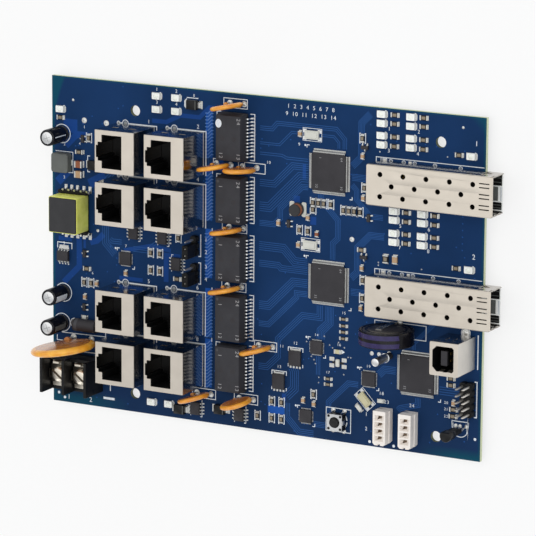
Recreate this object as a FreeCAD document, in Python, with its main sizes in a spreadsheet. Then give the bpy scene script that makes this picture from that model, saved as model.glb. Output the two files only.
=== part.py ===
"""Power over ethernet switch board: a bare circuit board with its jacks, cages and components."""
import FreeCAD, Part
import os

import Sketcher
from FreeCAD import Placement, Rotation, Vector

doc = FreeCAD.newDocument("PoeSwitchBoard")
sheet = doc.addObject("Spreadsheet::Sheet", "Sizes")

# Driving dimensions in millimetres. The origin is the centre of the four mounting holes, on the
# underside of the board; board_x and board_y place the board's centre from there.
DIMENSIONS = [
    ("board_length", 177.8),
    ("board_width", 124.5),
    ("board_thickness", 1.6),
    ("board_x", -9.1),
    ("board_y", 1.6),
    ("hole_spacing_x", 124.5),
    ("hole_spacing_y", 107.2),
    ("hole_diameter", 4.0),
    ("tail_length", 1.9),
    ("jack_length", 16.5),
    ("jack_width", 15.9),
    ("jack_height", 16.0),
    ("jack_wall", 0.4),
    ("jack_gap", 0.06),
    ("socket_depth", 12.5),
    ("socket_length", 8.2),
    ("socket_width", 12.4),
    ("socket_shift", -1.05),
    ("latch_room_length", 1.9),
    ("latch_room_width", 7.4),
    ("latch_slot_length", 0.75),
    ("latch_slot_width", 5.1),
    ("contact_pitch", 1.02),
    ("contact_width", 0.45),
    ("cage_length", 48.9),
    ("cage_width", 14.4),
    ("cage_height", 9.8),
    ("cage_sheet", 0.45),
    ("finger_width", 2.2),
    ("finger_reach", 1.5),
    ("finger_flare", 0.7),
    ("vent_radius", 0.95),
    ("vent_pitch", 9.03),
    ("vent_row", 4.0),
    ("module_length", 11.0),
    ("module_width", 17.6),
    ("module_height", 6.0),
    ("module_skirt", 2.5),
    ("lead_pitch", 1.27),
    ("lead_width", 0.5),
    ("lead_sheet", 0.35),
    ("lead_reach", 2.6),
    ("quad_side", 14.0),
    ("quad_height", 1.2),
    ("usb_length", 11.0),
    ("usb_width", 12.1),
    ("usb_height", 14.5),
    ("usb_wall", 0.4),
    ("block_length", 20.2),
    ("block_width", 13.2),
    ("block_floor", 5.0),
    ("block_height", 12.5),
    ("barrier", 1.1),
    ("pole_pitch", 9.5),
    ("screw_head_radius", 3.0),
    ("screw_head_height", 2.0),
    ("screw_radius", 1.6),
    ("varistor_radius", 12.2),
    ("varistor_thickness", 3.0),
    ("fuse_radius", 6.25),
    ("fuse_thickness", 2.2),
    ("can_radius", 3.15),
    ("can_height", 11.0),
    ("coin_radius", 10.0),
    ("coin_thickness", 5.5),
    ("reset_side", 6.0),
    ("reset_height", 3.2),
    ("button_radius", 1.75),
    ("header_pitch", 2.54),
    ("header_base", 2.5),
    ("pin_side", 0.64),
    ("pin_top", 8.5),
    ("lamp_length", 3.6),
    ("lamp_width", 2.6),
    ("lamp_height", 1.2),
]
for row, (alias, value) in enumerate(DIMENSIONS, 1):
    sheet.set(f"A{row}", alias)
    sheet.set(f"B{row}", str(value))
    sheet.setAlias(f"B{row}", alias)
doc.recompute()

nodes = []


def size(alias):
    """One driving dimension, as a number."""
    return float(sheet.get(alias))


def term(value):
    """A sheet expression or a plain number, in brackets, for use inside an expression."""
    return f"({value})"


def node(thing, label):
    """Names a finished sub-part and keeps it for export."""
    thing.Label = label
    nodes.append(thing)
    return thing


def seat(thing, at, spans=(0, 0)):
    """Places a solid by the middle of its base, from the board's centre on the component side."""
    x, y, z = at
    thing.setExpression("Placement.Base.x", f"Sizes.board_x + {term(x)} - {term(spans[0])} / 2")
    thing.setExpression("Placement.Base.y", f"Sizes.board_y + {term(y)} - {term(spans[1])} / 2")
    thing.setExpression("Placement.Base.z", f"Sizes.board_thickness + {term(z)}")


def box(name, spans, at):
    """A box of three spans on a seat."""
    solid = doc.addObject("Part::Box", name)
    for prop, span in zip(("Length", "Width", "Height"), spans):
        solid.setExpression(prop, term(span))
    seat(solid, at, spans)
    return solid


def round_bar(name, radius, length, at):
    """An upright cylinder on a seat."""
    solid = doc.addObject("Part::Cylinder", name)
    solid.setExpression("Radius", term(radius))
    solid.setExpression("Height", term(length))
    seat(solid, at)
    return solid


def many_sided(name, sides, radius, length, at):
    """An upright prism of many equal sides on a seat."""
    solid = doc.addObject("Part::Prism", name)
    solid.Polygon = sides
    solid.setExpression("Circumradius", term(radius))
    solid.setExpression("Height", term(length))
    seat(solid, at)
    return solid


def on_edge(solid, thickness, at, turn=0.0, lean=0.0):
    """Stands a flat round solid on edge with its middle at a point: it faces Y, turned about Z and leant back."""
    x, y, z = at
    solid.Placement.Rotation = Rotation(Vector(0, 0, 1), turn) * Rotation(Vector(1, 0, 0), 90 + lean)
    half = f"cos({lean} deg) * {term(thickness)} / 2"
    seat(solid, (f"{x} - sin({turn} deg) * {half}", f"{y} + cos({turn} deg) * {half}", z))
    solid.setExpression("Placement.Base.z", f"Sizes.board_thickness + {z} + sin({lean} deg) * {term(thickness)} / 2")
    return solid


def prism(name, corners, length, at, taper=0.0):
    """A closed outline raised from its seat, with an optional inward taper in degrees."""
    outline = doc.addObject("Part::Polygon", name + "_outline")
    outline.Nodes = [Vector(x, y, 0) for x, y in corners]
    outline.Close = True
    seat(outline, at)
    solid = doc.addObject("Part::Extrusion", name)
    solid.Base = outline
    solid.DirMode = "Custom"
    solid.Dir = Vector(0, 0, 1)
    solid.setExpression("LengthFwd", term(length))
    solid.TaperAngle = -taper
    solid.Solid = True
    return solid


def fuse(name, pieces):
    """Pieces joined into one solid."""
    whole = doc.addObject("Part::MultiFuse", name)
    whole.Shapes = pieces
    return whole


def cut(name, base, tools):
    """A base with one or several tools taken away."""
    whole = doc.addObject("Part::Cut", name)
    whole.Base = base
    whole.Tool = tools[0] if len(tools) == 1 else fuse(name + "_tools", tools)
    return whole


def group(name, pieces):
    """Separate solids kept in one sub-part."""
    whole = doc.addObject("Part::Compound", name)
    whole.Links = pieces
    return whole


def shaped(name, solids):
    """A sub-part of many small solids, placed from the board's centre on the component side."""
    whole = doc.addObject("Part::Feature", name)
    whole.Shape = Part.makeCompound(solids)
    whole.Placement = Placement(Vector(size("board_x"), size("board_y"), size("board_thickness")), Rotation())
    return whole


def bar(points, width, y):
    """A flat strip bent to an outline in XZ, its middle at y."""
    corners = [Vector(x, y - width / 2, z) for x, z in points]
    face = Part.Face(Part.makePolygon(corners + corners[:1]))
    return face.extrude(Vector(0, width, 0))


def rectangle(length, width):
    """Corners of a centred rectangle."""
    signs = [(-1, -1), (1, -1), (1, 1), (-1, 1)]
    return [(side * length / 2, end * width / 2) for side, end in signs]


def make_board():
    """The laminate: one padded sketch with its four mounting holes."""
    body = doc.addObject("PartDesign::Body", "BoardBody")
    plane = next(item for item in body.Origin.OriginFeatures if item.Role == "XY_Plane")
    sketch = body.newObject("Sketcher::SketchObject", "BoardOutline")
    sketch.AttachmentSupport = [(plane, "")]
    sketch.MapMode = "FlatFace"
    corners = [Vector(x, y) for x, y in rectangle(size("board_length"), size("board_width"))]
    for index in range(4):
        sketch.addGeometry(Part.LineSegment(corners[index], corners[(index + 1) % 4]), False)
    for index in range(4):
        sketch.addConstraint(Sketcher.Constraint("Coincident", index, 2, (index + 1) % 4, 1))
        sketch.addConstraint(Sketcher.Constraint("Vertical" if index % 2 else "Horizontal", index))
    sketch.addConstraint(Sketcher.Constraint("Symmetric", 0, 1, 2, 1, -1, 1))
    spans = [(0, "DistanceX", "board_length"), (1, "DistanceY", "board_width")]
    for line, kind, alias in spans:
        sketch.addConstraint(Sketcher.Constraint(kind, line, 1, line, 2, size(alias)))
        sketch.renameConstraint(sketch.ConstraintCount - 1, alias)
        sketch.setExpression("Constraints." + alias, "Sizes." + alias)
    for number, (side_x, side_y) in enumerate([(-1, -1), (1, -1), (1, 1), (-1, 1)]):
        away = {}
        for axis, side in (("x", side_x), ("y", side_y)):
            sign = "-" if side > 0 else "+"
            away[axis] = f"Sizes.hole_spacing_{axis} / 2 {sign} Sizes.board_{axis}"
        start_x = side_x * size("hole_spacing_x") / 2 - size("board_x")
        start_y = side_y * size("hole_spacing_y") / 2 - size("board_y")
        radius = size("hole_diameter") / 2
        hole = sketch.addGeometry(Part.Circle(Vector(start_x, start_y), Vector(0, 0, 1), radius), False)
        sketch.addConstraint(Sketcher.Constraint("Radius", hole, radius))
        sketch.renameConstraint(sketch.ConstraintCount - 1, f"hole_{number}_radius")
        sketch.setExpression(f"Constraints.hole_{number}_radius", "Sizes.hole_diameter / 2")
        for axis, side, start in (("x", side_x, start_x), ("y", side_y, start_y)):
            ends = (-1, 1, hole, 3) if side > 0 else (hole, 3, -1, 1)
            sketch.addConstraint(Sketcher.Constraint("Distance" + axis.upper(), *ends, abs(start)))
            sketch.renameConstraint(sketch.ConstraintCount - 1, f"hole_{number}_{axis}")
            sketch.setExpression(f"Constraints.hole_{number}_{axis}", away[axis])
    pad = body.newObject("PartDesign::Pad", "BoardPad")
    pad.Profile = sketch
    pad.setExpression("Length", "Sizes.board_thickness")
    body.Tip = pad
    body.setExpression("Placement.Base.x", "Sizes.board_x")
    body.setExpression("Placement.Base.y", "Sizes.board_y")
    node(body, "board")


JACK_COLUMNS = [-52.8, -32.1]
JACK_ROWS = [38.9, 19.3, -21.2, -40.7]
JACKS = [(x, y) for y in JACK_ROWS for x in JACK_COLUMNS]


def socket(name, x, y, low, depth, slot):
    """The stepped opening of a jack: plug room, then two steps for the latch on the -X side."""
    side = f"{x} + Sizes.socket_shift - Sizes.socket_length / 2"
    room = f"{side} - Sizes.latch_room_length / 2"
    far = f"{side} - Sizes.latch_room_length - ({slot}) / 2"
    main = ("Sizes.socket_length", "Sizes.socket_width", depth)
    return [
        box(name + "_plug", main, (f"{x} + Sizes.socket_shift", y, low)),
        box(name + "_latch", ("Sizes.latch_room_length", "Sizes.latch_room_width", depth), (room, y, low)),
        box(name + "_slot", (slot, "Sizes.latch_slot_width", depth), (far, y, low)),
    ]


def make_jack(number, x, y):
    """One upright network jack: the folded shield and the moulded insert inside it."""
    tag = f"jack_{number}"
    skin = box(tag + "_skin", ("Sizes.jack_length", "Sizes.jack_width", "Sizes.jack_height"), (x, y, 0))
    inner = "Sizes.jack_{} - 2 * Sizes.jack_wall"
    hollow_spans = (inner.format("length"), inner.format("width"), "Sizes.jack_height - Sizes.jack_wall + 1")
    hollow = box(tag + "_hollow", hollow_spans, (x, y, -1))
    face = "Sizes.jack_height - Sizes.jack_wall"
    window = socket(tag + "_window", x, y, face, "Sizes.jack_wall + 1", "Sizes.latch_slot_length")
    node(cut(tag + "_can", skin, [hollow] + window), f"jack_shield_{number}")
    moulding = " - 2 * Sizes.jack_wall - 2 * Sizes.jack_gap"
    spans = ("Sizes.jack_length" + moulding, "Sizes.jack_width" + moulding, face + " - Sizes.jack_gap")
    block = box(tag + "_block", spans, (x, y, 0))
    floor = "Sizes.jack_height - Sizes.socket_depth"
    hole = socket(tag + "_hole", x, y, floor, "Sizes.socket_depth", "Sizes.latch_slot_length + 0.3")
    node(cut(tag + "_core", block, hole), f"jack_insert_{number}")


def make_jack_contacts():
    """Eight spring contacts in each jack, folded back from the mouth on the +X wall."""
    wall = size("socket_shift") + size("socket_length") / 2
    strip = [(wall, 13.6), (wall, 12.6), (wall - 2.45, 6.0)]
    solids = []
    for x, y in JACKS:
        for index in range(8):
            along = y + (index - 3.5) * size("contact_pitch")
            solids.append(bar([(x + px, pz) for px, pz in strip], size("contact_width"), along))
    node(shaped("jack_springs", solids), "jack_contacts")


CAGE_X = 71.45
VENT_X = 70.45
CAGE_ROWS = [36.2, -4.5]


def make_cage(number, y):
    """One fibre-module cage: a folded base open at +X, and a cover on top."""
    tag = f"cage_{number}"
    end = CAGE_X + size("cage_length") / 2
    wall_top = "Sizes.cage_height - Sizes.cage_sheet"
    shell = box(tag + "_shell", ("Sizes.cage_length", "Sizes.cage_width", wall_top), (CAGE_X, y, 0))
    room_spans = ("Sizes.cage_length", "Sizes.cage_width - 2 * Sizes.cage_sheet", "Sizes.cage_height")
    room = box(tag + "_room", room_spans, (f"{CAGE_X} + Sizes.cage_sheet", y, "Sizes.cage_sheet"))
    gate = box(tag + "_gate", (11.5, 12.0, 3), (54.5, y, -1))
    lips = []
    half = size("cage_width") / 2
    reach = size("finger_reach")
    flare = size("finger_flare")
    sheet_mm = size("cage_sheet")
    for side in (-1, 1):
        for level in (1.6, 5.4):
            inner = side * (half - sheet_mm)
            outer = side * half
            outline = [(0, inner), (0, outer), (reach, outer + side * flare), (reach, inner + side * flare)]
            lips.append(prism(f"{tag}_lip_{len(lips)}", outline, "Sizes.finger_width", (end, y, level)))
    folded = cut(tag + "_fold", shell, [room, gate])
    node(fuse(tag + "_base", [folded] + lips), f"cage_base_{number}")
    lid = ("Sizes.cage_length", "Sizes.cage_width", "Sizes.cage_sheet")
    plate = box(tag + "_plate", lid, (CAGE_X, y, wall_top))
    vents = []
    for line, count in ((-1, 5), (0, 4), (1, 5)):
        for step in range(count):
            along = f"{VENT_X} + {step - (count - 1) / 2} * Sizes.vent_pitch"
            at = (along, f"{y} + {line} * Sizes.vent_row", "Sizes.cage_height - 2")
            vents.append(many_sided(f"{tag}_vent_{len(vents)}", 8, "Sizes.vent_radius", 4, at))
    node(cut(tag + "_cover", plate, vents), f"cage_cover_{number}")


def make_cage_connectors():
    """The card-edge connectors at the back of the cages."""
    pieces = []
    for number, y in enumerate(CAGE_ROWS, 1):
        shell = box(f"edge_{number}_shell", (9.0, 11.2, 6.5), (54.0, y, 0))
        slot = box(f"edge_{number}_slot", (7.0, 9.2, 1.5), (56.5, y, 2.6))
        pieces.append(cut(f"edge_{number}", shell, [slot]))
    node(group("edge_connectors", pieces), "cage_connectors")


MODULE_X = -11.0
MODULE_ROWS = [46.6, 23.4, 1.75, -20.5, -39.6]


def make_modules():
    """Isolation modules: a straight skirt with the leads, and a drafted upper half."""
    for number, y in enumerate(MODULE_ROWS, 1):
        tag = f"module_{number}"
        spans = ("Sizes.module_length", "Sizes.module_width", "Sizes.module_skirt")
        skirt = box(tag + "_skirt", spans, (MODULE_X, y, 0))
        corners = rectangle(size("module_length"), size("module_width"))
        rise = "Sizes.module_height - Sizes.module_skirt"
        crown = prism(tag + "_crown", corners, rise, (MODULE_X, y, "Sizes.module_skirt"), 5.0)
        node(fuse(tag + "_body", [skirt, crown]), f"isolation_module_{number}")


def make_module_leads():
    """Sloping leads, twelve on each long side of each module."""
    edge = size("module_length") / 2
    top = size("module_skirt")
    foot = edge + size("lead_reach")
    wing = [(edge, top), (foot, size("lead_sheet")), (foot, 0), (edge, top - 0.5)]
    solids = []
    for y in MODULE_ROWS:
        for index in range(12):
            along = y + (index - 5.5) * size("lead_pitch")
            for side in (-1, 1):
                points = [(MODULE_X + side * px, pz) for px, pz in wing]
                solids.append(bar(points, size("lead_width"), along))
    node(shaped("module_wings", solids), "module_leads")


def make_quad_chips():
    """The three quad flat chips."""
    spans = ("Sizes.quad_side", "Sizes.quad_side", "Sizes.quad_height")
    places = [(27.4, 36.9), (27.5, -3.8), (63.8, -33.1)]
    pieces = [box(f"quad_{index}", spans, (x, y, 0)) for index, (x, y) in enumerate(places)]
    node(group("quad_packs", pieces), "quad_chips")


def make_usb():
    """Upright USB type B jack: shell, and insert with its tongue."""
    x, y = 80.7, -22.55
    mouth = [(-2.8, -4.6), (3.4, -4.6), (3.4, 4.6), (-2.8, 4.6), (-4.4, 3.0), (-4.4, -3.0)]
    skin = box("usb_skin", ("Sizes.usb_length", "Sizes.usb_width", "Sizes.usb_height"), (x, y, 0))
    inner = "Sizes.usb_{} - 2 * Sizes.usb_wall"
    spans = (inner.format("length"), inner.format("width"), "Sizes.usb_height - Sizes.usb_wall + 1")
    hollow = box("usb_hollow", spans, (x, y, -1))
    window = prism("usb_window", mouth, 3, (x, y, "Sizes.usb_height - 2"))
    node(cut("usb_can", skin, [hollow, window]), "usb_shell")
    fill = " - 2 * Sizes.jack_gap"
    top = "Sizes.usb_height - Sizes.usb_wall - 0.1"
    core = box("usb_core", (inner.format("length") + fill, inner.format("width") + fill, top), (x, y, 0))
    room = prism("usb_room", mouth, 12, (x, y, 4.0))
    tongue = box("usb_tongue", (2.4, 5.2, 9.0), (x - 0.5, y, 4.0))
    node(fuse("usb_moulding", [cut("usb_well", core, [room]), tongue]), "usb_insert")


POLES = [-82.1, -72.6]
POLE_Y = -49.6


def make_terminal():
    """Two-pole barrier terminal: block, contact plates, wire clamps and screws."""
    x, y = -77.35, -49.6
    floor = box("block_base", ("Sizes.block_length", "Sizes.block_width", "Sizes.block_floor"), (x, y, 0))
    walls = []
    for index in (-1, 0, 1):
        spans = ("Sizes.barrier", "Sizes.block_width", "Sizes.block_height")
        walls.append(box(f"barrier_{index + 1}", spans, (f"{x} + {index} * Sizes.pole_pitch", y, 0)))
    back = box("block_back", ("Sizes.block_length", 1.2, 8.0), (x, f"{y} + Sizes.block_width / 2 - 0.6", 0))
    wells = [box(f"screw_well_{k}", (4.2, 4.2, 5), (px, POLE_Y, 1.2)) for k, px in enumerate(POLES)]
    node(cut("block_moulding", fuse("block_solid", [floor, back] + walls), wells), "terminal_block")
    plates = []
    for number, px in enumerate(POLES, 1):
        tag = f"pole_{number}"
        flat = box(tag + "_flat", (7.2, 10.2, 0.8), (px, -49.5, "Sizes.block_floor"))
        gap = box(tag + "_gap", (4.2, 4.2, 3), (px, POLE_Y, "Sizes.block_floor - 1"))
        upright = box(tag + "_upright", (2.6, 0.8, 4.6), (px, -44.8, "Sizes.block_floor"))
        plates.append(fuse(tag + "_plate", [cut(tag + "_floor", flat, [gap]), upright]))
        washer = box(tag + "_washer", (7.6, 6.6, 0.8), (px, POLE_Y, "Sizes.block_floor + 0.85"))
        eye = box(tag + "_eye", (4.0, 4.0, 3), (px, POLE_Y, "Sizes.block_floor"))
        ears = []
        for side in (-1, 1):
            at = (px + side * 3.6, POLE_Y, "Sizes.block_floor + 0.85")
            ears.append(box(f"{tag}_ear_{side + 1}", (0.4, 3.6, 2.2), at))
        clamp = fuse(tag + "_clamp", [cut(tag + "_ring", washer, [eye])] + ears)
        node(clamp, f"terminal_clamp_{number}")
        under = "Sizes.block_floor + 1.7"
        rise = "Sizes.screw_head_height"
        head = round_bar(tag + "_head", "Sizes.screw_head_radius", rise, (px, POLE_Y, under))
        shank = round_bar(tag + "_shank", "Sizes.screw_radius", under + " - 1.6", (px, POLE_Y, 1.6))
        slot = box(tag + "_slot", (9, 0.9, 3), (px, POLE_Y, under + " + 1.0"))
        screw = cut(tag + "_screw", fuse(tag + "_blank", [head, shank]), [slot])
        node(screw, f"terminal_screw_{number}")
    node(group("pole_plates", plates), "terminal_contacts")


FUSES = [
    (-10.5, 58.5, 13.0, 0.0),
    (-16.0, 35.7, 12.0, 0.0),
    (-5.2, 35.6, 4.0, 0.0),
    (-10.6, 12.6, 11.0, 0.0),
    (-11.2, -9.38, 13.0, 0.0),
    (1.9, -30.3, 16.0, 0.0),
    (-23.8, -51.4, 18.0, 0.0),
    (-6.0, -51.2, 15.0, 8.0),
]


def legged_disc(name, face, at, reach, spread, wire):
    """A coated disc with two wire legs down to the board."""
    x, y = at
    legs = [box(f"{name}_leg_{k}", (wire, wire, reach), (x + side * spread, y, 0)) for k, side in enumerate((-1, 1))]
    return fuse(name, [face] + legs)


def make_discs():
    """The varistor and the resettable fuses, all thin radial discs that stand a little askew, and the coin cell."""
    at = (-76.1, -37.6)
    face = round_bar("surge_face", "Sizes.varistor_radius", "Sizes.varistor_thickness", (0, 0, 0))
    on_edge(face, "Sizes.varistor_thickness", (*at, 14.0), 9.0)
    node(legged_disc("surge_disc", face, (at[0], at[1] + 0.6), "14 - Sizes.varistor_radius / 2", 3.85, 0.9), "varistor")
    pieces = []
    for index, (x, y, turn, lean) in enumerate(FUSES):
        name = f"fuse_{index}"
        face = many_sided(name + "_face", 24, "Sizes.fuse_radius", "Sizes.fuse_thickness", (0, 0, 0))
        on_edge(face, "Sizes.fuse_thickness", (x, y, 8.0), turn, lean)
        pieces.append(legged_disc(name, face, (x, y), "8 - Sizes.fuse_radius / 2", 2.8, 0.7))
    node(group("fuse_set", pieces), "fuse_discs")
    coin = round_bar("coin_cell", "Sizes.coin_radius", "Sizes.coin_thickness", (0, 0, 0))
    on_edge(coin, "Sizes.coin_thickness", (56.5, -17.8, 11.0))
    legs = [box(f"coin_leg_{side + 1}", (1.2, 0.8, 3.0), (56.5, -17.8 + side * 2.0, 0)) for side in (-1, 1)]
    node(fuse("coin_whole", [coin] + legs), "backup_capacitor")


def make_power_parts():
    """Can capacitors, transformer, inductors and the axial clamp diode."""
    cans = []
    for index, (x, y) in enumerate([(-84.6, 40.6), (-84.3, -19.9), (-85.0, -31.6)]):
        cans.append(round_bar(f"can_{index}", "Sizes.can_radius", "Sizes.can_height", (x, y, 0)))
    node(group("can_set", cans), "capacitor_cans")
    x, y = -79.1, 11.6
    rails = [box(f"bobbin_rail_{side + 1}", (12.4, 1.3, 2.4), (x, y + side * 7.55, 0)) for side in (-1, 1)]
    node(fuse("bobbin", [box("bobbin_plate", (12.0, 16.4, 0.6), (x, y, 0))] + rails), "transformer_base")
    node(box("ferrite", (11.6, 13.0, 8.9), (x, y, 0.6)), "transformer_core")
    wrap = box("wrap_outer", (12.2, 13.6, 8.2), (x, y, 0.75))
    node(cut("wrap", wrap, [box("wrap_inner", (11.6, 13.0, 12), (x, y, 0))]), "transformer_tape")
    block = prism("choke_block", rectangle(7.3, 7.3), 3.5, (-83.9, 30.0, 0), 4.0)
    drum = round_bar("choke_drum", 2.5, 3.5, (14.9, 22.2, 0))
    node(group("chokes", [block, drum]), "inductors")
    body = doc.addObject("Part::Cylinder", "diode_body")
    body.Radius = 2.4
    body.Height = 9.5
    body.Placement.Rotation = Rotation(Vector(0, 1, 0), 90)
    seat(body, (-78.0, -31.0, 2.6))
    wires = []
    for index, (inner, outer) in enumerate([(-77.8, -79.3), (-68.7, -67.2)]):
        arm = (abs(inner - outer) + 0.7, 0.9, 0.9)
        wires.append(box(f"diode_arm_{index}", arm, ((inner + outer) / 2, -31.0, 2.15)))
        wires.append(box(f"diode_leg_{index}", (0.9, 0.9, 3.05), (outer, -31.0, 0)))
    node(fuse("diode_whole", [body] + wires), "clamp_diode")


def make_reset():
    """Reset switch: base, cover plate and the round button that travels down."""
    x, y = 32.2, -54.4
    base = box("reset_block", ("Sizes.reset_side", "Sizes.reset_side", "Sizes.reset_height"), (x, y, 0))
    pocket = box("reset_pocket", (4.4, 4.4, 3), (x, y, "Sizes.reset_height - 1.3"))
    node(cut("reset_shell", base, [pocket]), "reset_base")
    sheet_at = (x, y, "Sizes.reset_height")
    plate = box("reset_sheet", ("Sizes.reset_side", "Sizes.reset_side", 0.3), sheet_at)
    ring = round_bar("reset_ring", "Sizes.button_radius + 0.3", 2, (x, y, "Sizes.reset_height - 1"))
    node(cut("reset_cover", plate, [ring]), "reset_plate")
    stud = round_bar("reset_stud", "Sizes.button_radius", 2.1, (x, y, "Sizes.reset_height - 0.9"))
    node(stud, "reset_button")


WIRE_HEADERS = [51.5, 61.6]
WIRE_HEADER_Y = -53.5
PIN_BLOCK = (84.0, -39.65)
JUMPERS = [4.27, -6.13]
JUMPER_X = -27.3


def make_headers():
    """Wire headers, pin headers, jumper caps and all their pins."""
    housings = []
    pins = []
    pitch = size("header_pitch")
    for number, x in enumerate(WIRE_HEADERS, 1):
        outline = [(-1.6, -6.35), (1.6, -6.35), (2.5, -5.2), (2.5, 6.35), (-2.5, 6.35), (-2.5, -5.2)]
        shell = prism(f"wire_{number}_shell", outline, 6.0, (x, WIRE_HEADER_Y, 0))
        cells = []
        for index in range(4):
            y = WIRE_HEADER_Y + (index - 1.5) * pitch
            cells.append(box(f"wire_{number}_cell_{index}", (3.4, 2.0, 5), (x, y, 2.2)))
        housings.append(cut(f"wire_{number}", shell, cells))
    node(group("wire_set", housings), "wire_headers")
    field = ("2 * Sizes.header_pitch - 0.08", "5 * Sizes.header_pitch", "Sizes.header_base")
    blocks = [box("pin_block", field, (*PIN_BLOCK, 0))]
    rise = "Sizes.pin_top - Sizes.header_base"
    square = ("Sizes.pin_side", "Sizes.pin_side", rise)
    for column in (-0.5, 0.5):
        for line in range(-2, 3):
            at = (PIN_BLOCK[0] + column * pitch, PIN_BLOCK[1] + line * pitch, "Sizes.header_base")
            pins.append(box(f"pin_{len(pins)}", square, at))
    caps = []
    for number, y in enumerate(JUMPERS, 1):
        spans = ("Sizes.header_pitch", "3 * Sizes.header_pitch", "Sizes.header_base")
        blocks.append(box(f"jumper_{number}_block", spans, (JUMPER_X, y, 0)))
        for line in (-1, 0, 1):
            at = (JUMPER_X, y + line * pitch, "Sizes.header_base")
            pins.append(box(f"pin_{len(pins)}", square, at))
        cap = box(f"cap_{number}", (2.4, 5.0, 6.1), (JUMPER_X, y - pitch / 2, "Sizes.header_base"))
        holes = []
        for line in (-1, 0):
            holes.append(box(f"cap_{number}_hole_{line + 1}", (0.9, 0.9, 9), (JUMPER_X, y + line * pitch, 1)))
        caps.append(cut(f"cap_{number}_shell", cap, holes))
    node(group("header_set", blocks), "header_bases")
    node(group("pin_set", pins), "header_pins")
    node(group("cap_set", caps), "jumper_caps")


def make_sensor():
    """Upright three-legged sensor: a D-shaped case over a spacer on its legs."""
    x, y = 80.9, -51.0
    case = round_bar("sensor_case", 2.2, 4.7, (x, y, 7.9))
    flat = box("sensor_flat", (6, 3, 7), (x, y + 2.7, 7))
    spacer = box("sensor_spacer", (4.4, 1.6, 5.2), (x, y, 2.9))
    legs = [box(f"sensor_leg_{index}", (0.5, 0.5, 3.0), (x + (index - 1) * 1.6, y, 0)) for index in range(3)]
    node(fuse("sensor_whole", [cut("sensor_d", case, [flat]), spacer] + legs), "sensor")


def make_crystals():
    """Flat crystals, one of them set at an angle, and the upright can crystal."""
    flats = [(20.3, 49.9), (20.0, 9.5)]
    plates = [box(f"quartz_{k}", (6.5, 3.6, 1.3), (x, y, 0)) for k, (x, y) in enumerate(flats)]
    turned = prism("quartz_turned", rectangle(6.5, 3.6), 1.3, (42.8, -45.1, 0))
    turned.Base.Placement.Rotation = Rotation(Vector(0, 0, 1), -46)
    can = round_bar("quartz_can", 1.55, 8.0, (52.5, -27.7, 4.0))
    legs = [box(f"quartz_leg_{side + 1}", (0.5, 0.5, 4.2), (52.5 + side * 0.7, -27.7, 0)) for side in (-1, 1)]
    node(group("quartz_set", plates + [turned, fuse("quartz_upright", [can] + legs)]), "crystals")


SMALL_CHIPS = [
    (23.0, -28.2, 5.0, 5.0, 0.9),
    (18.9, -54.4, 5.0, 5.0, 0.9),
    (44.4, -37.3, 5.4, 5.4, 1.0),
    (-57.2, -4.0, 5.0, 5.0, 1.0),
    (14.3, -33.3, 5.0, 5.8, 1.1),
    (7.6, -42.8, 5.0, 5.8, 1.1),
    (-84.0, -5.8, 4.9, 3.9, 1.6),
    (-53.5, 6.3, 3.9, 4.9, 1.6),
    (-41.2, 5.7, 3.9, 4.9, 1.6),
    (-35.3, -3.6, 3.9, 4.9, 1.6),
    (-27.0, -57.3, 3.9, 4.9, 1.6),
    (-8.5, -57.3, 3.9, 4.9, 1.6),
    (-74.8, -4.0, 1.4, 2.9, 1.0),
    (-75.0, -24.5, 1.4, 2.9, 1.0),
    (11.2, 16.5, 1.7, 3.0, 1.1),
    (41.6, 47.3, 2.9, 1.4, 1.0),
    (43.5, 21.9, 1.4, 2.9, 1.0),
    (41.7, 7.3, 2.9, 1.4, 1.0),
    (-75.5, 39.5, 1.4, 2.9, 1.0),
    (-28.5, 56.6, 4.4, 3.6, 2.2),
    (-70.5, 30.1, 4.4, 3.6, 2.2),
    (-16.5, -56.3, 4.4, 3.6, 2.2),
    (-33.5, -58.4, 4.4, 3.6, 2.2),
]
LAMPS = [(-85.2, 49.9), (-46.0, -57.4), (-38.6, -57.3)]
LAMPS += [(x, y) for x in (-44.0, -35.8) for y in (58.4, 53.4)]
LAMPS += [(x, y) for x in (48.1, 59.7) for y in (60.0, 56.7, 52.3, 49.0)]
LAMPS += [(x, y) for x in (53.4, 64.6) for y in (25.4, 22.2, 17.4, 14.2)]
LAMPS += [(83.4, 48.1), (83.3, 7.3)]
CHIPS = [(-77.0, 29.8, 3.2, 2.5, 1.6), (-77.0, 26.0, 3.2, 2.5, 1.6), (-76.9, 34.4, 3.2, 1.6, 1.0)]


def make_small_parts():
    """Small chips, status lamps and the larger two-ended chips."""
    chips = [box(f"chip_{k}", (sx, sy, sz), (x, y, 0)) for k, (x, y, sx, sy, sz) in enumerate(SMALL_CHIPS)]
    node(group("chip_set", chips), "small_chips")
    spans = ("Sizes.lamp_length", "Sizes.lamp_width", "Sizes.lamp_height")
    lamps = [box(f"lamp_{k}", spans, (x, y, 0)) for k, (x, y) in enumerate(LAMPS)]
    node(group("lamp_set", lamps), "status_lamps")
    ends = [box(f"two_end_{k}", (sx, sy, sz), (x, y, 0)) for k, (x, y, sx, sy, sz) in enumerate(CHIPS)]
    node(group("two_end_set", ends), "chip_parts")


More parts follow.
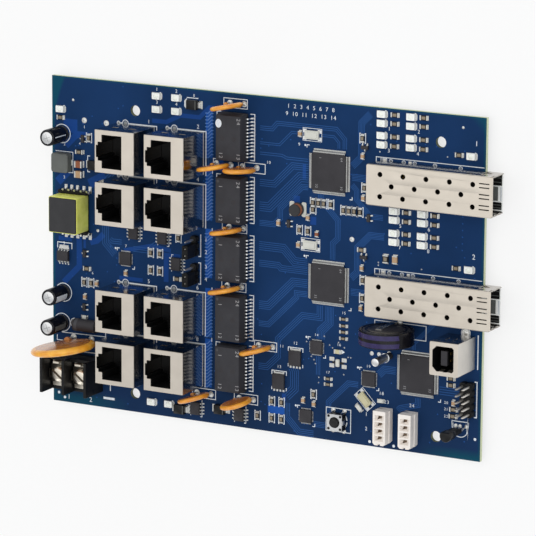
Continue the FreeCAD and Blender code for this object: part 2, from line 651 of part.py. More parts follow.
def make_tails():
    """Shield tabs of the jacks, cages and USB jack, standing out below the board; it rests on them."""
    tabs = []
    for x, y in JACKS:
        for side in (-1, 1):
            tabs.append((x - 4.6, y + side * 7.6, 1.4, 0.5))
    for y in CAGE_ROWS:
        for side in (-1, 1):
            for x in (51.8, 79.2):
                tabs.append((x, y + side * 6.95, 0.8, 0.5))
    for side in (-1, 1):
        tabs.append((82.3, -22.55 + side * 5.8, 1.4, 0.5))
    solids = []
    drop = "-Sizes.board_thickness - Sizes.tail_length"
    for index, (x, y, length, width) in enumerate(tabs):
        solids.append(box(f"tab_{index}", (length, width, "Sizes.tail_length"), (x, y, drop)))
    node(group("tab_set", solids), "shield_tails")


make_board()
for number, (x, y) in enumerate(JACKS, 1):
    make_jack(number, x, y)
make_jack_contacts()
for number, y in enumerate(CAGE_ROWS, 1):
    make_cage(number, y)
make_cage_connectors()
make_modules()
make_module_leads()
make_quad_chips()
make_usb()
make_terminal()
make_discs()
make_power_parts()
make_reset()
make_headers()
make_sensor()
make_crystals()
make_small_parts()
make_tails()
doc.recompute()

for thing in doc.Objects:
    if "Invalid" in thing.State or "Error" in thing.State:
        raise RuntimeError(f"{thing.Name} did not compute: {thing.State}")
os.makedirs("parts", exist_ok=True)
for thing in nodes:
    if thing.Shape.isNull() or not thing.Shape.isValid():
        raise RuntimeError(f"{thing.Label} has no valid shape")
    thing.Shape.exportStep(os.path.join("parts", thing.Label + ".step"))
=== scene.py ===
"""Looks of a bare power over ethernet switch board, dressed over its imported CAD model.

Shapes are worked out in board millimetres: X and Y from the middle of the board, Z up from its component side.
"""

import bpy
import numpy as np
from mathutils import Matrix, Vector
from mathutils.geometry import tessellate_polygon


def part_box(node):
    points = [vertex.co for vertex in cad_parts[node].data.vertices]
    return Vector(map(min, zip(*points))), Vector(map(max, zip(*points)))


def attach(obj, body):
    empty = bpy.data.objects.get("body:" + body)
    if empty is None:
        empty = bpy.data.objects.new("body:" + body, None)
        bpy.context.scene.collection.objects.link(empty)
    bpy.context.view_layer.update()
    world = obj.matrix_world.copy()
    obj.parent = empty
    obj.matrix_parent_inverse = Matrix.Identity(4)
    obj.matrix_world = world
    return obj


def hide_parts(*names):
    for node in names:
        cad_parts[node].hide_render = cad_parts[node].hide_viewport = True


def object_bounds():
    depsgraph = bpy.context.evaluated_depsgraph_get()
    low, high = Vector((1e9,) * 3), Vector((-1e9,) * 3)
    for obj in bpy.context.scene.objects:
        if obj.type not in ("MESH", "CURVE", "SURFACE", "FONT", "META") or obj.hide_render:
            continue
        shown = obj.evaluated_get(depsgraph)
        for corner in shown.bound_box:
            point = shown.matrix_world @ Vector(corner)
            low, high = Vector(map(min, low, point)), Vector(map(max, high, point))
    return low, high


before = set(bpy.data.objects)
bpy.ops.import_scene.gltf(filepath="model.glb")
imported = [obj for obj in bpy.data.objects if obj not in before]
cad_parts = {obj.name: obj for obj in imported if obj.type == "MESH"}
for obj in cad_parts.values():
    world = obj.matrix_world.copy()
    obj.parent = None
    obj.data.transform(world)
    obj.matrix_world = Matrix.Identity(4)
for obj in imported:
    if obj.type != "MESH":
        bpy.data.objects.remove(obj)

bl_info = {
    "name": "Power over ethernet switch board",
    "version": (1, 0, 0),
    "blender": (4, 5, 0),
    "location": "3D View > Sidebar > Switch board",
    "description": "Builds the board's jacks, cages, chips, power parts, print and stage round the CAD frame",
    "category": "Object",
}

CAD_BOX = [list(corner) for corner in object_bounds()]
BOARD_LOW, BOARD_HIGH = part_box("board")
HOME = np.array([(BOARD_LOW.x + BOARD_HIGH.x) / 2, (BOARD_LOW.y + BOARD_HIGH.y) / 2, BOARD_HIGH.z])
LAMINATE = (BOARD_HIGH.z - BOARD_LOW.z) * 1000


def tone(red, green, blue):
    """Eight-bit display colour as the linear colour that the shader works with."""
    value = np.array([red, green, blue]) / 255
    return tuple(np.where(value <= 0.04045, value / 12.92, ((value + 0.055) / 1.055) ** 2.4))


# Shapes


def outline(width, depth, radius=0.0, per=3):
    """Rounded rectangle, anticlockwise: a quarter circle of the radius about each corner's own centre."""
    corner = np.array([(1, 1), (-1, 1), (-1, -1), (1, -1)]) / 2
    if radius <= 0:
        return corner * (width, depth)
    angle = np.radians(np.arange(4)[:, None] * 90 + np.linspace(0, 90, per + 1))
    centre = corner * (width - 2 * radius, depth - 2 * radius)
    arc = radius * np.stack([np.cos(angle), np.sin(angle)], -1)
    return (centre[:, None] + arc).reshape(-1, 2)


def circle(radius, sides=16, x=0.0, y=0.0):
    """Regular polygon of points at equal angles about (x, y)."""
    angle = np.linspace(0, 2 * np.pi, sides, endpoint=False) + np.pi / sides
    return np.stack([x + radius * np.cos(angle), y + radius * np.sin(angle)], 1)


def raised(flat, height):
    """Flat points lifted to one height."""
    return np.column_stack([flat, np.full(len(flat), height)])


def loft(rings):
    """Skin through equal rings: point k of each joins point k of the next, and flat faces close both ends."""
    rings = np.asarray(rings, float)
    count, size = rings.shape[:2]
    here = np.arange(size)
    after = np.roll(here, -1)
    base = (np.arange(count - 1) * size)[:, None]
    sides = np.stack([base + here, base + after, base + size + after, base + size + here], -1)
    return rings.reshape(-1, 3), [sides.reshape(-1, 4), here[::-1][None], (here + (count - 1) * size)[None]]


def block(width, depth, low, high, radius=0.0, edge=0.0, draft=0.0, per=2, foot=True):
    """Box with rounded uprights: its rings draw in by the edge at both ends, and by the draft at the head."""
    levels = [(low, edge if foot else 0), (low + edge, 0), (high - edge, draft), (high, draft + edge)]
    if edge <= 0:
        levels = [(low, 0), (high, draft)]
    rings = []
    for z, inset in levels:
        corner = max(radius - inset, 0.05) if radius else 0
        rings.append(raised(outline(width - 2 * inset, depth - 2 * inset, corner, per), z))
    return loft(rings)


def drawn_in(width, depth, levels, radius, per=2):
    """Stack of rounded rectangles: at each (height, inset) the outline draws in by the inset all round."""
    return loft([raised(outline(width - 2 * i, depth - 2 * i, radius, per), z) for z, i in levels])


def turned(profile, sides=24):
    """Surface of revolution about Z: each profile point (radius, height) sweeps a circle."""
    profile = np.asarray(profile, float)
    angle = np.linspace(0, 2 * np.pi, sides, endpoint=False)
    round_ = np.stack([np.cos(angle), np.sin(angle), np.zeros(sides)], 1)
    return loft(profile[:, 0, None, None] * round_ + profile[:, 1, None, None] * (0, 0, 1))


def strip(path, width, thick):
    """Bent strip: the path in XZ is widened along Y and thickened along its own normal."""
    path = np.asarray(path, float)
    along = np.gradient(path, axis=0)
    along /= np.linalg.norm(along, axis=1, keepdims=True)
    normal = np.stack([-along[:, 1], along[:, 0]], 1) * thick / 2
    under, over = path - normal, path + normal
    side = np.full(len(path), width / 2)
    corners = [(under, -side), (under, side), (over, side), (over, -side)]
    return loft(np.stack([np.stack([p[:, 0], y, p[:, 1]], 1) for p, y in corners], 1))


def wire(path, radius, sides=8, across=(0.0, 1.0, 0.0)):
    """Round wire: a circle square to the path at each of its points."""
    path = np.asarray(path, float)
    along = np.gradient(path, axis=0)
    along /= np.linalg.norm(along, axis=1, keepdims=True)
    first = np.cross(across, along)
    first /= np.linalg.norm(first, axis=1, keepdims=True)
    second = np.cross(along, first)
    angle = np.linspace(0, 2 * np.pi, sides, endpoint=False)[:, None]
    size = np.broadcast_to(radius, len(path))[:, None, None]
    return loft(path[:, None] + size * (np.cos(angle) * first[:, None] + np.sin(angle) * second[:, None]))


def plate(loops, low, high, foot=None):
    """Flat sheet with holes: the first loop is the rim, the rest are holes, and the foot has its own loops."""

    def area(p):
        """Twice the area inside a loop, positive where it runs anticlockwise."""
        return np.sum(p[:, 0] * np.roll(p[:, 1], -1) - p[:, 1] * np.roll(p[:, 0], -1))

    loops = [np.asarray(p, float) for p in loops]
    feet = loops if foot is None else [np.asarray(p, float) for p in foot]
    keep = [(area(p) > 0) == (k == 0) for k, p in enumerate(loops)]
    loops = [p if same else p[::-1] for p, same in zip(loops, keep)]
    feet = [p if same else p[::-1] for p, same in zip(feet, keep)] if foot is not None else loops
    flat = np.concatenate(loops)
    cut = np.array(tessellate_polygon([list(map(Vector, raised(p, 0.0))) for p in loops]))
    a, b, c = flat[cut].transpose(1, 0, 2)
    turn = (b - a)[:, 0] * (c - a)[:, 1] - (b - a)[:, 1] * (c - a)[:, 0]
    cut = np.where(turn[:, None] < 0, cut[:, ::-1], cut)
    start = np.repeat(np.cumsum([0] + [len(p) for p in loops[:-1]]), [len(p) for p in loops])
    size = np.repeat([len(p) for p in loops], [len(p) for p in loops])
    here = np.arange(len(flat))
    after = start + (here - start + 1) % size
    walls = np.stack([here, after, after + len(flat), here + len(flat)], 1)
    points = np.concatenate([raised(np.concatenate(feet), low), raised(flat, high)])
    return points, [cut[:, ::-1], cut + len(flat), walls]


def sides_of(path, closed=False):
    """Mitre of a flat path: at each point, the offset that keeps both its runs parallel at distance one."""
    path = np.asarray(path, float)
    ahead = np.roll(path, -1, 0) - path
    ahead /= np.maximum(np.linalg.norm(ahead, axis=1, keepdims=True), 1e-9)
    normal = np.stack([-ahead[:, 1], ahead[:, 0]], 1)
    if not closed:
        normal[-1] = normal[-2]
    before = np.roll(normal, 1, 0)
    if not closed:
        before[0] = normal[0]
    return (normal + before) / (1 + np.sum(normal * before, 1, keepdims=True))


def ribbon(path, width, height=0.03, closed=False):
    """Printed line: the path widened to both sides by its mitre, as one row of flat quads."""
    path = np.asarray(path, float)
    offset = sides_of(path, closed) * width / 2
    points = np.concatenate([raised(path - offset, height), raised(path + offset, height)])
    here = np.arange(len(path) if closed else len(path) - 1)
    after = (here + 1) % len(path)
    return points, [np.stack([here, after, after + len(path), here + len(path)], 1)]


def lanes(path, count, pitch):
    """Parallel paths: the path shifted along its mitre by whole pitches, centred on itself."""
    return [np.array(path) + sides_of(path) * shift for shift in row(count, pitch)]


def spot(flat, height=0.03):
    """One flat face with the given rim."""
    return raised(flat, height), [np.arange(len(flat))[None]]


def lean(part, axis, degrees):
    """The part turned about a world axis through its own origin."""
    turn = np.array(Matrix.Rotation(np.radians(degrees), 3, axis))
    return part[0] @ turn.T, part[1]


def copies(part, places, turns=0.0):
    """The same part at many places: every point is turned about Z by its place's angle, then shifted there."""
    points, faces = part
    places = np.atleast_2d(np.asarray(places, float))
    if places.shape[1] == 2:
        places = np.column_stack([places, np.zeros(len(places))])
    angle = np.radians(np.broadcast_to(turns, len(places)))[:, None]
    x, y, z = points.T
    spun = np.stack([np.cos(angle) * x - np.sin(angle) * y, np.sin(angle) * x + np.cos(angle) * y,
                     z + 0 * angle], -1)
    step = (np.arange(len(places)) * len(points))[:, None, None]
    return (spun + places[:, None]).reshape(-1, 3), [(f[None] + step).reshape(-1, f.shape[1]) for f in faces]


def stood(sheet, place, turn):
    """A flat sheet stood on edge about X, turned about Z to face its own way, and put at its place."""
    return copies(lean(sheet, "X", 90), [place], turn)


def flipped(part):
    """The same part with its faces turned to look the other way."""
    return part[0], [f[:, ::-1] for f in part[1]]


def mirrored(part):
    """The part mirrored across XZ: Y changes sign, and the faces are flipped to look outwards again."""
    return flipped((part[0] * (1, -1, 1), part[1]))


def joined(*parts):
    """Several parts as one: their points in a row, and each one's faces counted on from the last."""
    start = np.cumsum([0] + [len(p) for p, _ in parts])
    return np.concatenate([p for p, _ in parts]), [f + s for (_, faces), s in zip(parts, start) for f in faces]


def row(count, pitch):
    """Equal places along a line, centred on zero."""
    return (np.arange(count) - (count - 1) / 2) * pitch


def grid(xs, ys):
    """Every place with one of the given X and one of the given Y."""
    return [(x, y) for x in xs for y in ys]


def flanks(places, reach):
    """Two places for each one, to its left and to its right."""
    return [(x + side * reach, y) for x, y in places for side in (-1, 1)]


def ranks(places, steps, shift=0.0):
    """A rank of places along Y for each one, all shifted in X."""
    return [(x + shift, y + step) for x, y in places for step in steps]


class Form:
    """Parts of one piece, each with the number of its coat, in board millimetres."""

    def __init__(self):
        self.points, self.faces, self.coats, self.count = [], [], [], 0

    def add(self, part, coat=0, places=((0.0, 0.0, 0.0),), turns=0.0):
        """Takes in copies of a part at its places, all in one coat."""
        points, faces = copies(part, places, turns)
        self.points.append(points)
        self.faces += [f + self.count for f in faces]
        self.coats += [coat] * len(faces)
        self.count += len(points)
        return self

    def piece(self, name, coats, slot, stands_for=(), body="board", angle=32.0, bevel=0.0):
        """Puts the arrays into one mesh in the CAD frame, and ties the object to its body and nodes; the slot
        is not used.
        """
        mesh = bpy.data.meshes.new(name)
        points = np.concatenate(self.points) / 1000 + HOME
        corners = np.concatenate([f.ravel() for f in self.faces])
        sizes = np.concatenate([np.full(len(f), f.shape[1]) for f in self.faces])
        number = np.concatenate([np.full(len(f), c) for f, c in zip(self.faces, self.coats)])
        mesh.vertices.add(len(points))
        mesh.vertices.foreach_set("co", points.ravel())
        mesh.loops.add(len(corners))
        mesh.loops.foreach_set("vertex_index", corners.astype(np.int32))
        mesh.polygons.add(len(sizes))
        mesh.polygons.foreach_set("loop_start", (np.cumsum(sizes) - sizes).astype(np.int32))
        mesh.polygons.foreach_set("material_index", number.astype(np.int32))
        mesh.update(calc_edges=True)
        if mesh.validate():
            raise RuntimeError(f"{name} has faces that do not hold together")
        mesh.shade_smooth()
        mesh.set_sharp_from_angle(angle=np.radians(angle))
        made = bpy.data.objects.new(name, mesh)
        bpy.context.scene.collection.objects.link(made)
        for coat in coats:
            mesh.materials.append(COATS[coat])
        if bevel:
            soften(made, bevel)
        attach(made, body)
        if stands_for:
            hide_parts(*stands_for)
        return made


def soften(made, width):
    """Worn edges: the loose triangles are welded and every sharp edge gets a narrow rounded bevel."""
    weld = made.modifiers.new("Weld", "WELD")
    weld.merge_threshold = 1e-6
    edge = made.modifiers.new("Bevel", "BEVEL")
    edge.width = width / 1000
    edge.segments = 2
    edge.limit_method = "ANGLE"
    edge.angle_limit = np.radians(40)


def dress(names, coat, width=0.0):
    """Gives CAD nodes a finish and, where asked, worn edges."""
    for name in names:
        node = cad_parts[name]
        node.data.materials.clear()
        node.data.materials.append(COATS[coat])
        if width:
            soften(node, width)


# Places and levels, in board millimetres


def numbered(stem, count):
    """Names of like CAD nodes, counted from one."""
    return [f"{stem}_{k + 1}" for k in range(count)]


def middle_of(name):
    """Middle of a CAD node's box, seen from above, to the nearest micrometre."""
    low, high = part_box(name)
    middle = (np.array(low) + np.array(high)) / 2 - HOME
    return tuple(np.round(middle[:2] * 1000, 3))


PIN_PITCH = 2.54
LEAD_PITCH = 1.27
CONTACT_PITCH = 1.02
PRINT_LEVEL = 0.034
NUMBER_LEVEL = 0.036

# Larger parts, from the CAD
JACKS = [middle_of(name) for name in numbered("jack_shield", 8)]
CAGES = [middle_of(name) for name in numbered("cage_cover", 2)]
CAGE_MIDDLE, CAGE_LINES, FINGER_LEVELS = CAGES[0][0], [y for x, y in CAGES], (2.7, 6.5)
MODULES = [middle_of(name) for name in numbered("isolation_module", 5)]
POLES = [middle_of(name) for name in numbered("terminal_clamp", 2)]
USB = middle_of("usb_shell")
RESET = middle_of("reset_base")
TRANSFORMER = middle_of("transformer_base")
COIN = middle_of("backup_capacitor")
DIODE = middle_of("clamp_diode")

# Parts that share a CAD node
VARISTOR, VARISTOR_SPREAD = (-76.1, -37.6), 3.85
FUSES = [(-10.5, 58.5), (-16.0, 35.7), (-5.2, 35.6), (-10.6, 12.6),
         (-11.2, -9.38), (1.9, -30.3), (-23.8, -51.4), (-6.0, -51.2)]
FUSE_TURNS = [13.0, 12.0, 4.0, 11.0, 13.0, 16.0, 18.0, 15.0]
FUSE_LEANS = [-3.0, -3.0, -4.0, -3.0, -3.0, -1.5, -1.0, 6.0]
FUSE_SPREAD = 2.95
CANS = [(-84.6, 40.6), (-84.3, -19.9), (-85.0, -31.6)]
SHIELDED_COIL = (-83.9, 30.0)
DRUM_COIL = (14.9, 22.2)
TRANSFORMER_PINS = [-83, -80.5, -78, -75.2, -72.6]
WIRE_HEADERS = [(51.5, -53.5), (61.6, -53.5)]
JUMPERS = [(-27.3, 4.27), (-27.3, -6.13)]
JUMPER_PINS = ranks(JUMPERS, row(3, PIN_PITCH))
HEADER_PINS = [(84.0 + u, -39.65 + v) for u in row(2, PIN_PITCH) for v in row(5, PIN_PITCH)]
RESET_LEGS = [(30, -50.7), (34.6, -50.6), (30, -58.2), (34.4, -58.2)]
SENSOR = (80.9, -51.0)
CAN_CRYSTAL = (52.5, -27.7)

# Flat crystals, three-lead chips: x, y, turn; no-lead chips: x, y, width, leads a side, reach of the print
FLAT_CRYSTALS = [(20.3, 49.9, 0.0), (20.0, 9.5, 0.0), (42.8, -45.1, -46.0)]
QUADS = [(27.4, 36.9), (27.5, -3.8), (63.8, -33.1)]
NO_LEAD_CHIPS = [(23.0, -28.2, 5.0, 8, 3.6), (18.9, -54.4, 5.0, 8, 3.6),
                 (44.4, -37.3, 5.4, 10, 3.9), (-57.2, -4.0, 5.0, 8, 3.7)]
POWER_CHIPS = [(14.3, -33.3), (7.6, -42.8)]
CROSSWISE_CHIP = (-84.0, -5.8)
EIGHT_LEAD_CHIPS = [(-53.5, 6.3), (-41.2, 5.7), (-35.3, -3.6), (-27.0, -57.3), (-8.5, -57.3)]
THREE_LEAD_CHIPS = [(-74.8, -4.0, 0), (-75.0, -24.5, 0), (11.2, 16.5, 0), (41.6, 47.3, 90),
                    (43.5, 21.9, 0), (41.7, 7.3, 90), (-75.5, 39.5, 0)]
BLOCK_DIODES = [(-28.5, 56.6), (-70.5, 30.1), (-16.5, -56.3), (-33.5, -58.4)]

# Chip parts and lamps
FLAT_CHIPS = grid((53.2, 64.6), (60.1, 56.9, 52.2, 48.8))
FLAT_CHIPS += grid((58.3, 69.5), (25.3, 22.0, 17.4, 14.1))
FLAT_CHIPS += [(78.6, 48.1), (78.2, 7.3), (-85.2, 46.7), (-74, -9.7), (77, -35.5),
               (78.2, -44.3), (78, -46.8), (40.6, 9.9), (-35.2, -9.3), (77, -33)]
SLIM_CHIPS = [(33.8, -16.4), (33.8, -18.9), (33.8, -21.2), (33.8, -23.6), (27.8, -39.3), (27.8, -41.4)]
FLAT_WHITE = [(49.2, -44.8), (-75.1, -28.4)]
UPRIGHT_CHIPS = [
    (-73, 40.0), (-75.2, -15), (-72.2, -15), (-46.5, -0.6), (-42.6, -0.6), (-46.5, -7.2), (-42.6, -7.2),
    (4.7, -50.6), (8.7, -50.6), (4.7, -57), (8.7, -57), (-1.2, -56.8), (21.9, -45.9), (15.5, 14.6),
    (18.9, 14.5), (20.9, 25.2), (23.1, 25.2), (25.3, 25.2), (28.1, 25.2), (20.9, 22.7), (33.2, 23.6),
    (35.4, 23.6), (37.6, 23.6), (39.9, 23.6), (-34.8, 6.2), (41.5, 32.6), (41.3, -1.2), (41.2, -7.8),
    (40.5, 50.5),
]
UPRIGHT_TAN = [
    (-69.6, -14.9), (-57, -9.5), (17.8, -48.6), (22.2, -49.4), (7, 16.3), (19, 19.5), (40.8, 44.1),
    (41, 3.3), (41.2, 28.9), (40.8, -11.5), (-74.7, -20.5), (78.3, -41.9), (15.5, 49.9), (15.2, 9.1),
]
LAMPS = [(-85.2, 49.9), (-46.0, -57.4), (-38.6, -57.3)]
LAMPS += grid((-44.0, -35.8), (58.4, 53.4))
LAMPS += grid((48.1, 59.7), (60.0, 56.7, 52.3, 49.0))
LAMPS += grid((53.4, 64.6), (25.4, 22.2, 17.4, 14.2))
LAMPS += [(83.4, 48.1), (83.3, 7.3)]

# Pads and vias; round pads have a radius too
JACK_ROW, JACK_PAD, JACK_HOLE = 8.05, -4.55, -7.5
CAGE_ROW, CAGE_RINGS = 7.1, (51.8, 56.9, 61.2, 69.2, 79.2)
ROUND_PADS = [
    (-75, 46.4, 1.1), (-65.5, 46.2, 1.1), (36.7, 13.3, 0.95), (-69.3, 5.3, 0.6), (-79.8, 53.7, 0.5),
    (79.9, 58.0, 0.5), (56.4, -15.4, 1.2), (-79.5, -31.2, 1.6), (-66.9, -31.1, 1.4),
    *[(x, y, 0.9) for x, y in RESET_LEGS],
    (80.9, -50.1, 0.75), (83.4, -50.0, 0.75), (79.2, -50.1, 0.75), (52.3, -27, 0.9), (45.3, -27.7, 0.8),
    (48.2, -27.7, 0.8), (82.4, -15.7, 1.5),
]
OPEN_VIAS = [
    (18.8, -26.5), (20.8, -31.8), (21.9, -32.9), (22.5, -34.3), (26, -23.7), (28.2, -26.7), (29.4, -27.6),
    (31.8, -25.3), (34.2, -27), (35.8, -30.4), (36.8, -30.4), (34.1, -37), (74, 47), (64.6, 5.4),
    (23.9, -39.3), (23.9, -41.3), *[(47.4, y) for y in (46.3, 28, 27, 6, 5)],
]

# Copper under the mask: runs have a path, a count of traces and a pitch; pours a path, a width and a coat
TRACE_RUNS = [
    ([(-1, 50.5), (4, 50.5), (6, 52.8), (30, 52.8), (33.4, 49.4), (33.4, 45.8)], 3, 0.7),
    ([(-1, 45), (7, 45), (12, 50), (29, 50), (31, 48), (31, 45.8)], 2, 0.7),
    ([(-1, 41.2), (8, 41.2), (10, 40.4), (18.8, 40.4)], 2, 0.8),
    ([(-1, 30.4), (5, 30.4), (12.4, 37.8), (18.8, 37.8)], 4, 0.75),
    ([(-1, 21.6), (3, 21.6), (15.4, 34), (18.8, 34)], 5, 0.8),
    ([(-1, 15.5), (5, 15.5), (7.5, 18), (7.5, 21.6), (16.4, 30.5), (18.8, 30.5)], 4, 0.6),
    ([(-1, 7.0), (9, 7.0), (13.5, 2.6), (18.8, 2.6)], 5, 0.75),
    ([(-1, 0.5), (7, 0.5), (8, -0.5), (18.8, -0.5)], 4, 0.7),
    ([(-1, -15), (3, -15), (13, -5), (18.8, -5)], 5, 0.7),
    ([(-1, -22), (3, -22), (14.5, -10.5), (14.5, -9), (18.8, -9)], 4, 0.6),
    ([(-1, -38), (2.4, -38), (7, -33.5), (7, -27), (17, -17), (24, -17), (24, -12.5)], 4, 0.7),
    ([(28, -12.5), (28, -18.5), (24.5, -22), (24.5, -25)], 6, 0.6),
    ([(36.5, 40), (40, 43.5), (40, 56), (43.5, 59.5)], 5, 0.55),
    ([(36.5, 36), (43.4, 36), (46, 38.6)], 5, 0.55),
    ([(36.5, 33.2), (38.4, 31.3), (38.4, 28), (44, 22.4), (49, 22.4)], 4, 0.55),
    ([(36.5, -1), (39, 1.5), (39, 10.5), (44, 15.5), (49.5, 15.5)], 5, 0.55),
    ([(36.5, -6), (44, -6), (46.5, -3.5)], 5, 0.55),
    ([(24, 28.5), (24, 26.6), (31, 19.6), (31, 13), (29, 11), (29, 5)], 4, 0.6),
    ([(55, -33), (50.5, -33), (48.2, -35.3)], 5, 0.6),
    ([(62, -24.4), (62, -22), (70.5, -13.5), (86, -13.5)], 3, 0.6),
    ([(72.5, -38), (76, -38), (80.6, -38)], 4, 0.9),
    ([(64, -42), (64, -44.5), (57, -46.5), (56, -47.5)], 4, 0.6),
    ([(40, -40), (36, -40), (28, -48), (28, -57), (22, -57)], 4, 0.6),
    ([(13.0, -36.8), (13.9, -38.4), (13.9, -44.8), (10.6, -48.1)], 5, 0.8),
    ([(23.6, -31.4), (23.6, -38.4)], 3, 0.7),
    ([(22, -60.8), (16, -60.8), (11, -55.8), (11, -50.5)], 4, 0.7),
    ([(-64.0, 2.8), (-63.2, 2), (-59, 2)], 3, 0.8),
    ([(-21.6, 55), (-21.6, 33)], 3, 0.75),
    ([(-21.6, 31), (-21.6, 14)], 3, 0.75),
    ([(-21.6, -12), (-21.6, -30)], 3, 0.75),
    ([(-21.6, -32), (-21.6, -48)], 3, 0.75),
    ([(-62, -3), (-66, 1), (-66, 24), (-62.5, 27.5)], 4, 0.8),
    ([(-54, 0), (-48, 0), (-44, 3)], 3, 0.9),
]
BRIGHT_POUR, SOFT_POUR = 2, 4
POURS = [
    ([(-77.4, 2.2), (-77.4, -9.2), (-84.2, -16.0)], 2.3, SOFT_POUR),
    ([(-75.0, 2.2), (-75.0, -2.0)], 1.0, SOFT_POUR),
    ([(-72.6, 0.4), (-69.6, 1.4), (-66.8, 4.2)], 2.2, SOFT_POUR),
    ([(-86.4, 0.8), (-80.6, 0.8)], 1.6, SOFT_POUR),
    ([(-86.6, 22.2), (-82.4, 26.4), (-82.4, 28)], 3.2, SOFT_POUR),
    ([(-84, 43.8), (-78, 43.8)], 5.2, SOFT_POUR),
    ([(-83, 36.2), (-78.4, 40.8), (-73.2, 40.8)], 2.6, SOFT_POUR),
    ([(-70, 20), (-62, 10)], 2.4, SOFT_POUR),
    ([(-73, 22.6), (-66, 26.4)], 3.6, SOFT_POUR),
    ([(-46, 49), (-40, 49), (-34, 52), (-26, 52), (-22, 56), (-17, 56)], 1.6, SOFT_POUR),
    ([(-58, -1), (-46, 2), (-38, 1)], 1.6, SOFT_POUR),
    ([(-34, -1), (-40, -1), (-40, -11)], 2.0, SOFT_POUR),
    ([(3.0, -53.8), (9.8, -53.8)], 2.8, BRIGHT_POUR),
    ([(9.6, -47.2), (9.6, -50.0)], 1.6, SOFT_POUR),
    ([(14.2, 24), (14.2, 27)], 2.6, SOFT_POUR),
    ([(17.2, 33.5), (17.2, 39)], 1.4, SOFT_POUR),
    ([(-17, 33), (-17, 37)], 2.0, SOFT_POUR),
    ([(21, 17), (21, 20)], 2.4, SOFT_POUR),
    ([(-60, -11.5), (-50, -11.5)], 1.4, SOFT_POUR),
]
UNDERSIDE_RUNS = [
    ([(-60, 50), (-60, -50)], 4, 1.1),
    ([(-40, 50), (-40, -50)], 4, 1.1),
    ([(-18, 54), (-18, -50)], 3, 1.2),
    ([(0, 48), (20, 30), (20, -40), (40, -56)], 6, 0.9),
    ([(40, 30), (62, 8), (62, -20), (80, -38)], 6, 0.9),
]

# White print: frames from low to high X and Y, and numbers with their place and height
PRINTED_FRAMES = [
    (-16, -6.3, 56.8, 60.2), (-7.3, 1.2, 33.6, 37.2), (-2.7, 6.5, -32, -28.6), (-16.4, -6.2, 10.8, 14.2),
    (-16.5, -6.4, -11.2, -7.9), (-28.6, -18.9, -53.2, -49.6), (-11, -1.2, -53, -49.4), (-20.2, -9.8, 34, 37.4),
    (27.1, 37.1, -58.6, -49.9), (46.3, 66.8, -20.6, -15.2),
]
BOARD_NUMBERS = [(str(k), x + 5.4, y + 8.9, 1.5) for k, (x, y) in enumerate(JACKS, 1)]
for places, height in [
    ([(51.0, 54.3), (62.6, 54.3), (50.9, 46.4), (62.4, 46.3),
      (55.9, 19.6), (67.2, 19.5), (55.8, 11.7), (67.1, 11.6)], 1.4),
    ([(85.2, 51.9), (84.9, 11.2)], 1.9),
    ([(-23.2, 5.9), (-23.2, 1.4), (-23.2, -4.2), (-23.2, -8.8)], 1.5),
    ([(-44.0, 60.2), (-35.8, 60.2), (-44.0, 55.4), (-35.8, 55.4)], 1.3),
    ([(-82.1, -60.9), (-72.6, -60.9)], 1.8),
    ([(43.4, -51.2), (43.4, -56.6)], 1.4),
]:
    BOARD_NUMBERS += [(str(k), x, y, height) for k, (x, y) in enumerate(places, 1)]
BOARD_NUMBERS += [(text, x, y, 1.2) for x in (47.6, 57.7) for text, y in (("1", -50.0), ("4", -58.6))]
BOARD_NUMBERS += [("1 2 3 4 5 6 7 8", 19.6, 58.9, 1.5), ("9 10 11 12 13 14", 19.6, 56.1, 1.5)]
PART_NUMBERS = [
    (-75.0, 43.4, 1.2), (-83.6, 36.2, 1.1), (-83.8, 23.6, 1.2), (-77.0, 37.0, 1.0), (-84.0, -1.6, 1.2),
    (-71.6, -11.6, 1.0), (-57.2, 0.2, 1.1), (-28.4, 59.4, 1.0), (15.0, 45.4, 1.2), (2.6, 37.6, 1.1),
    (8.6, -30.0, 1.1), (14.2, -28.2, 1.1), (7.6, -37.8, 1.1), (22.8, -24.0, 1.0), (33.8, -14.6, 1.0),
    (32.0, -26.6, 1.0), (27.6, -37.4, 1.0), (49.4, -42.6, 1.2), (44.0, -33.2, 1.1), (75.2, -42.6, 1.0),
    (75.2, -45.0, 1.0), (75.2, -47.6, 1.0), (51.5, -45.6, 1.3), (61.6, -45.6, 1.3),
]
BOARD_NUMBERS += [(str(k), x, y, height) for k, (x, y, height) in enumerate(PART_NUMBERS, 1)]

# Pin numbers on the cases, with height and level; the first module has a white oval in place of its first
CASE_NUMBERS = [(text, x + u, y + v, 1.5, 6.014) for x, y in MODULES
                for text, u, v in (("1", -3.6, 5.2), ("12", -3.6, -6.4), ("24", 3.6, 6.4),
                                   ("13", 3.6, -6.4))][1:]
CASE_NUMBERS += [(text, x + u, y + v, 0.9, 1.272) for x, y in QUADS
                 for text, u, v in (("32", -5.0, -5.2), ("33", 5.0, -5.2), ("64", 5.0, 5.2), ("1", -3.6, 5.2))]

# Camera: its place, and its right, up and back directions
CAMERA_PLACE = (625.611, 290.875, 1163.681)
CAMERA_AXES = ((0.880828, 0.007315, -0.473379), (-0.108498, 0.976389, -0.186798),
               (0.460836, 0.215897, 0.860825))

# Finishes

COATS = {}


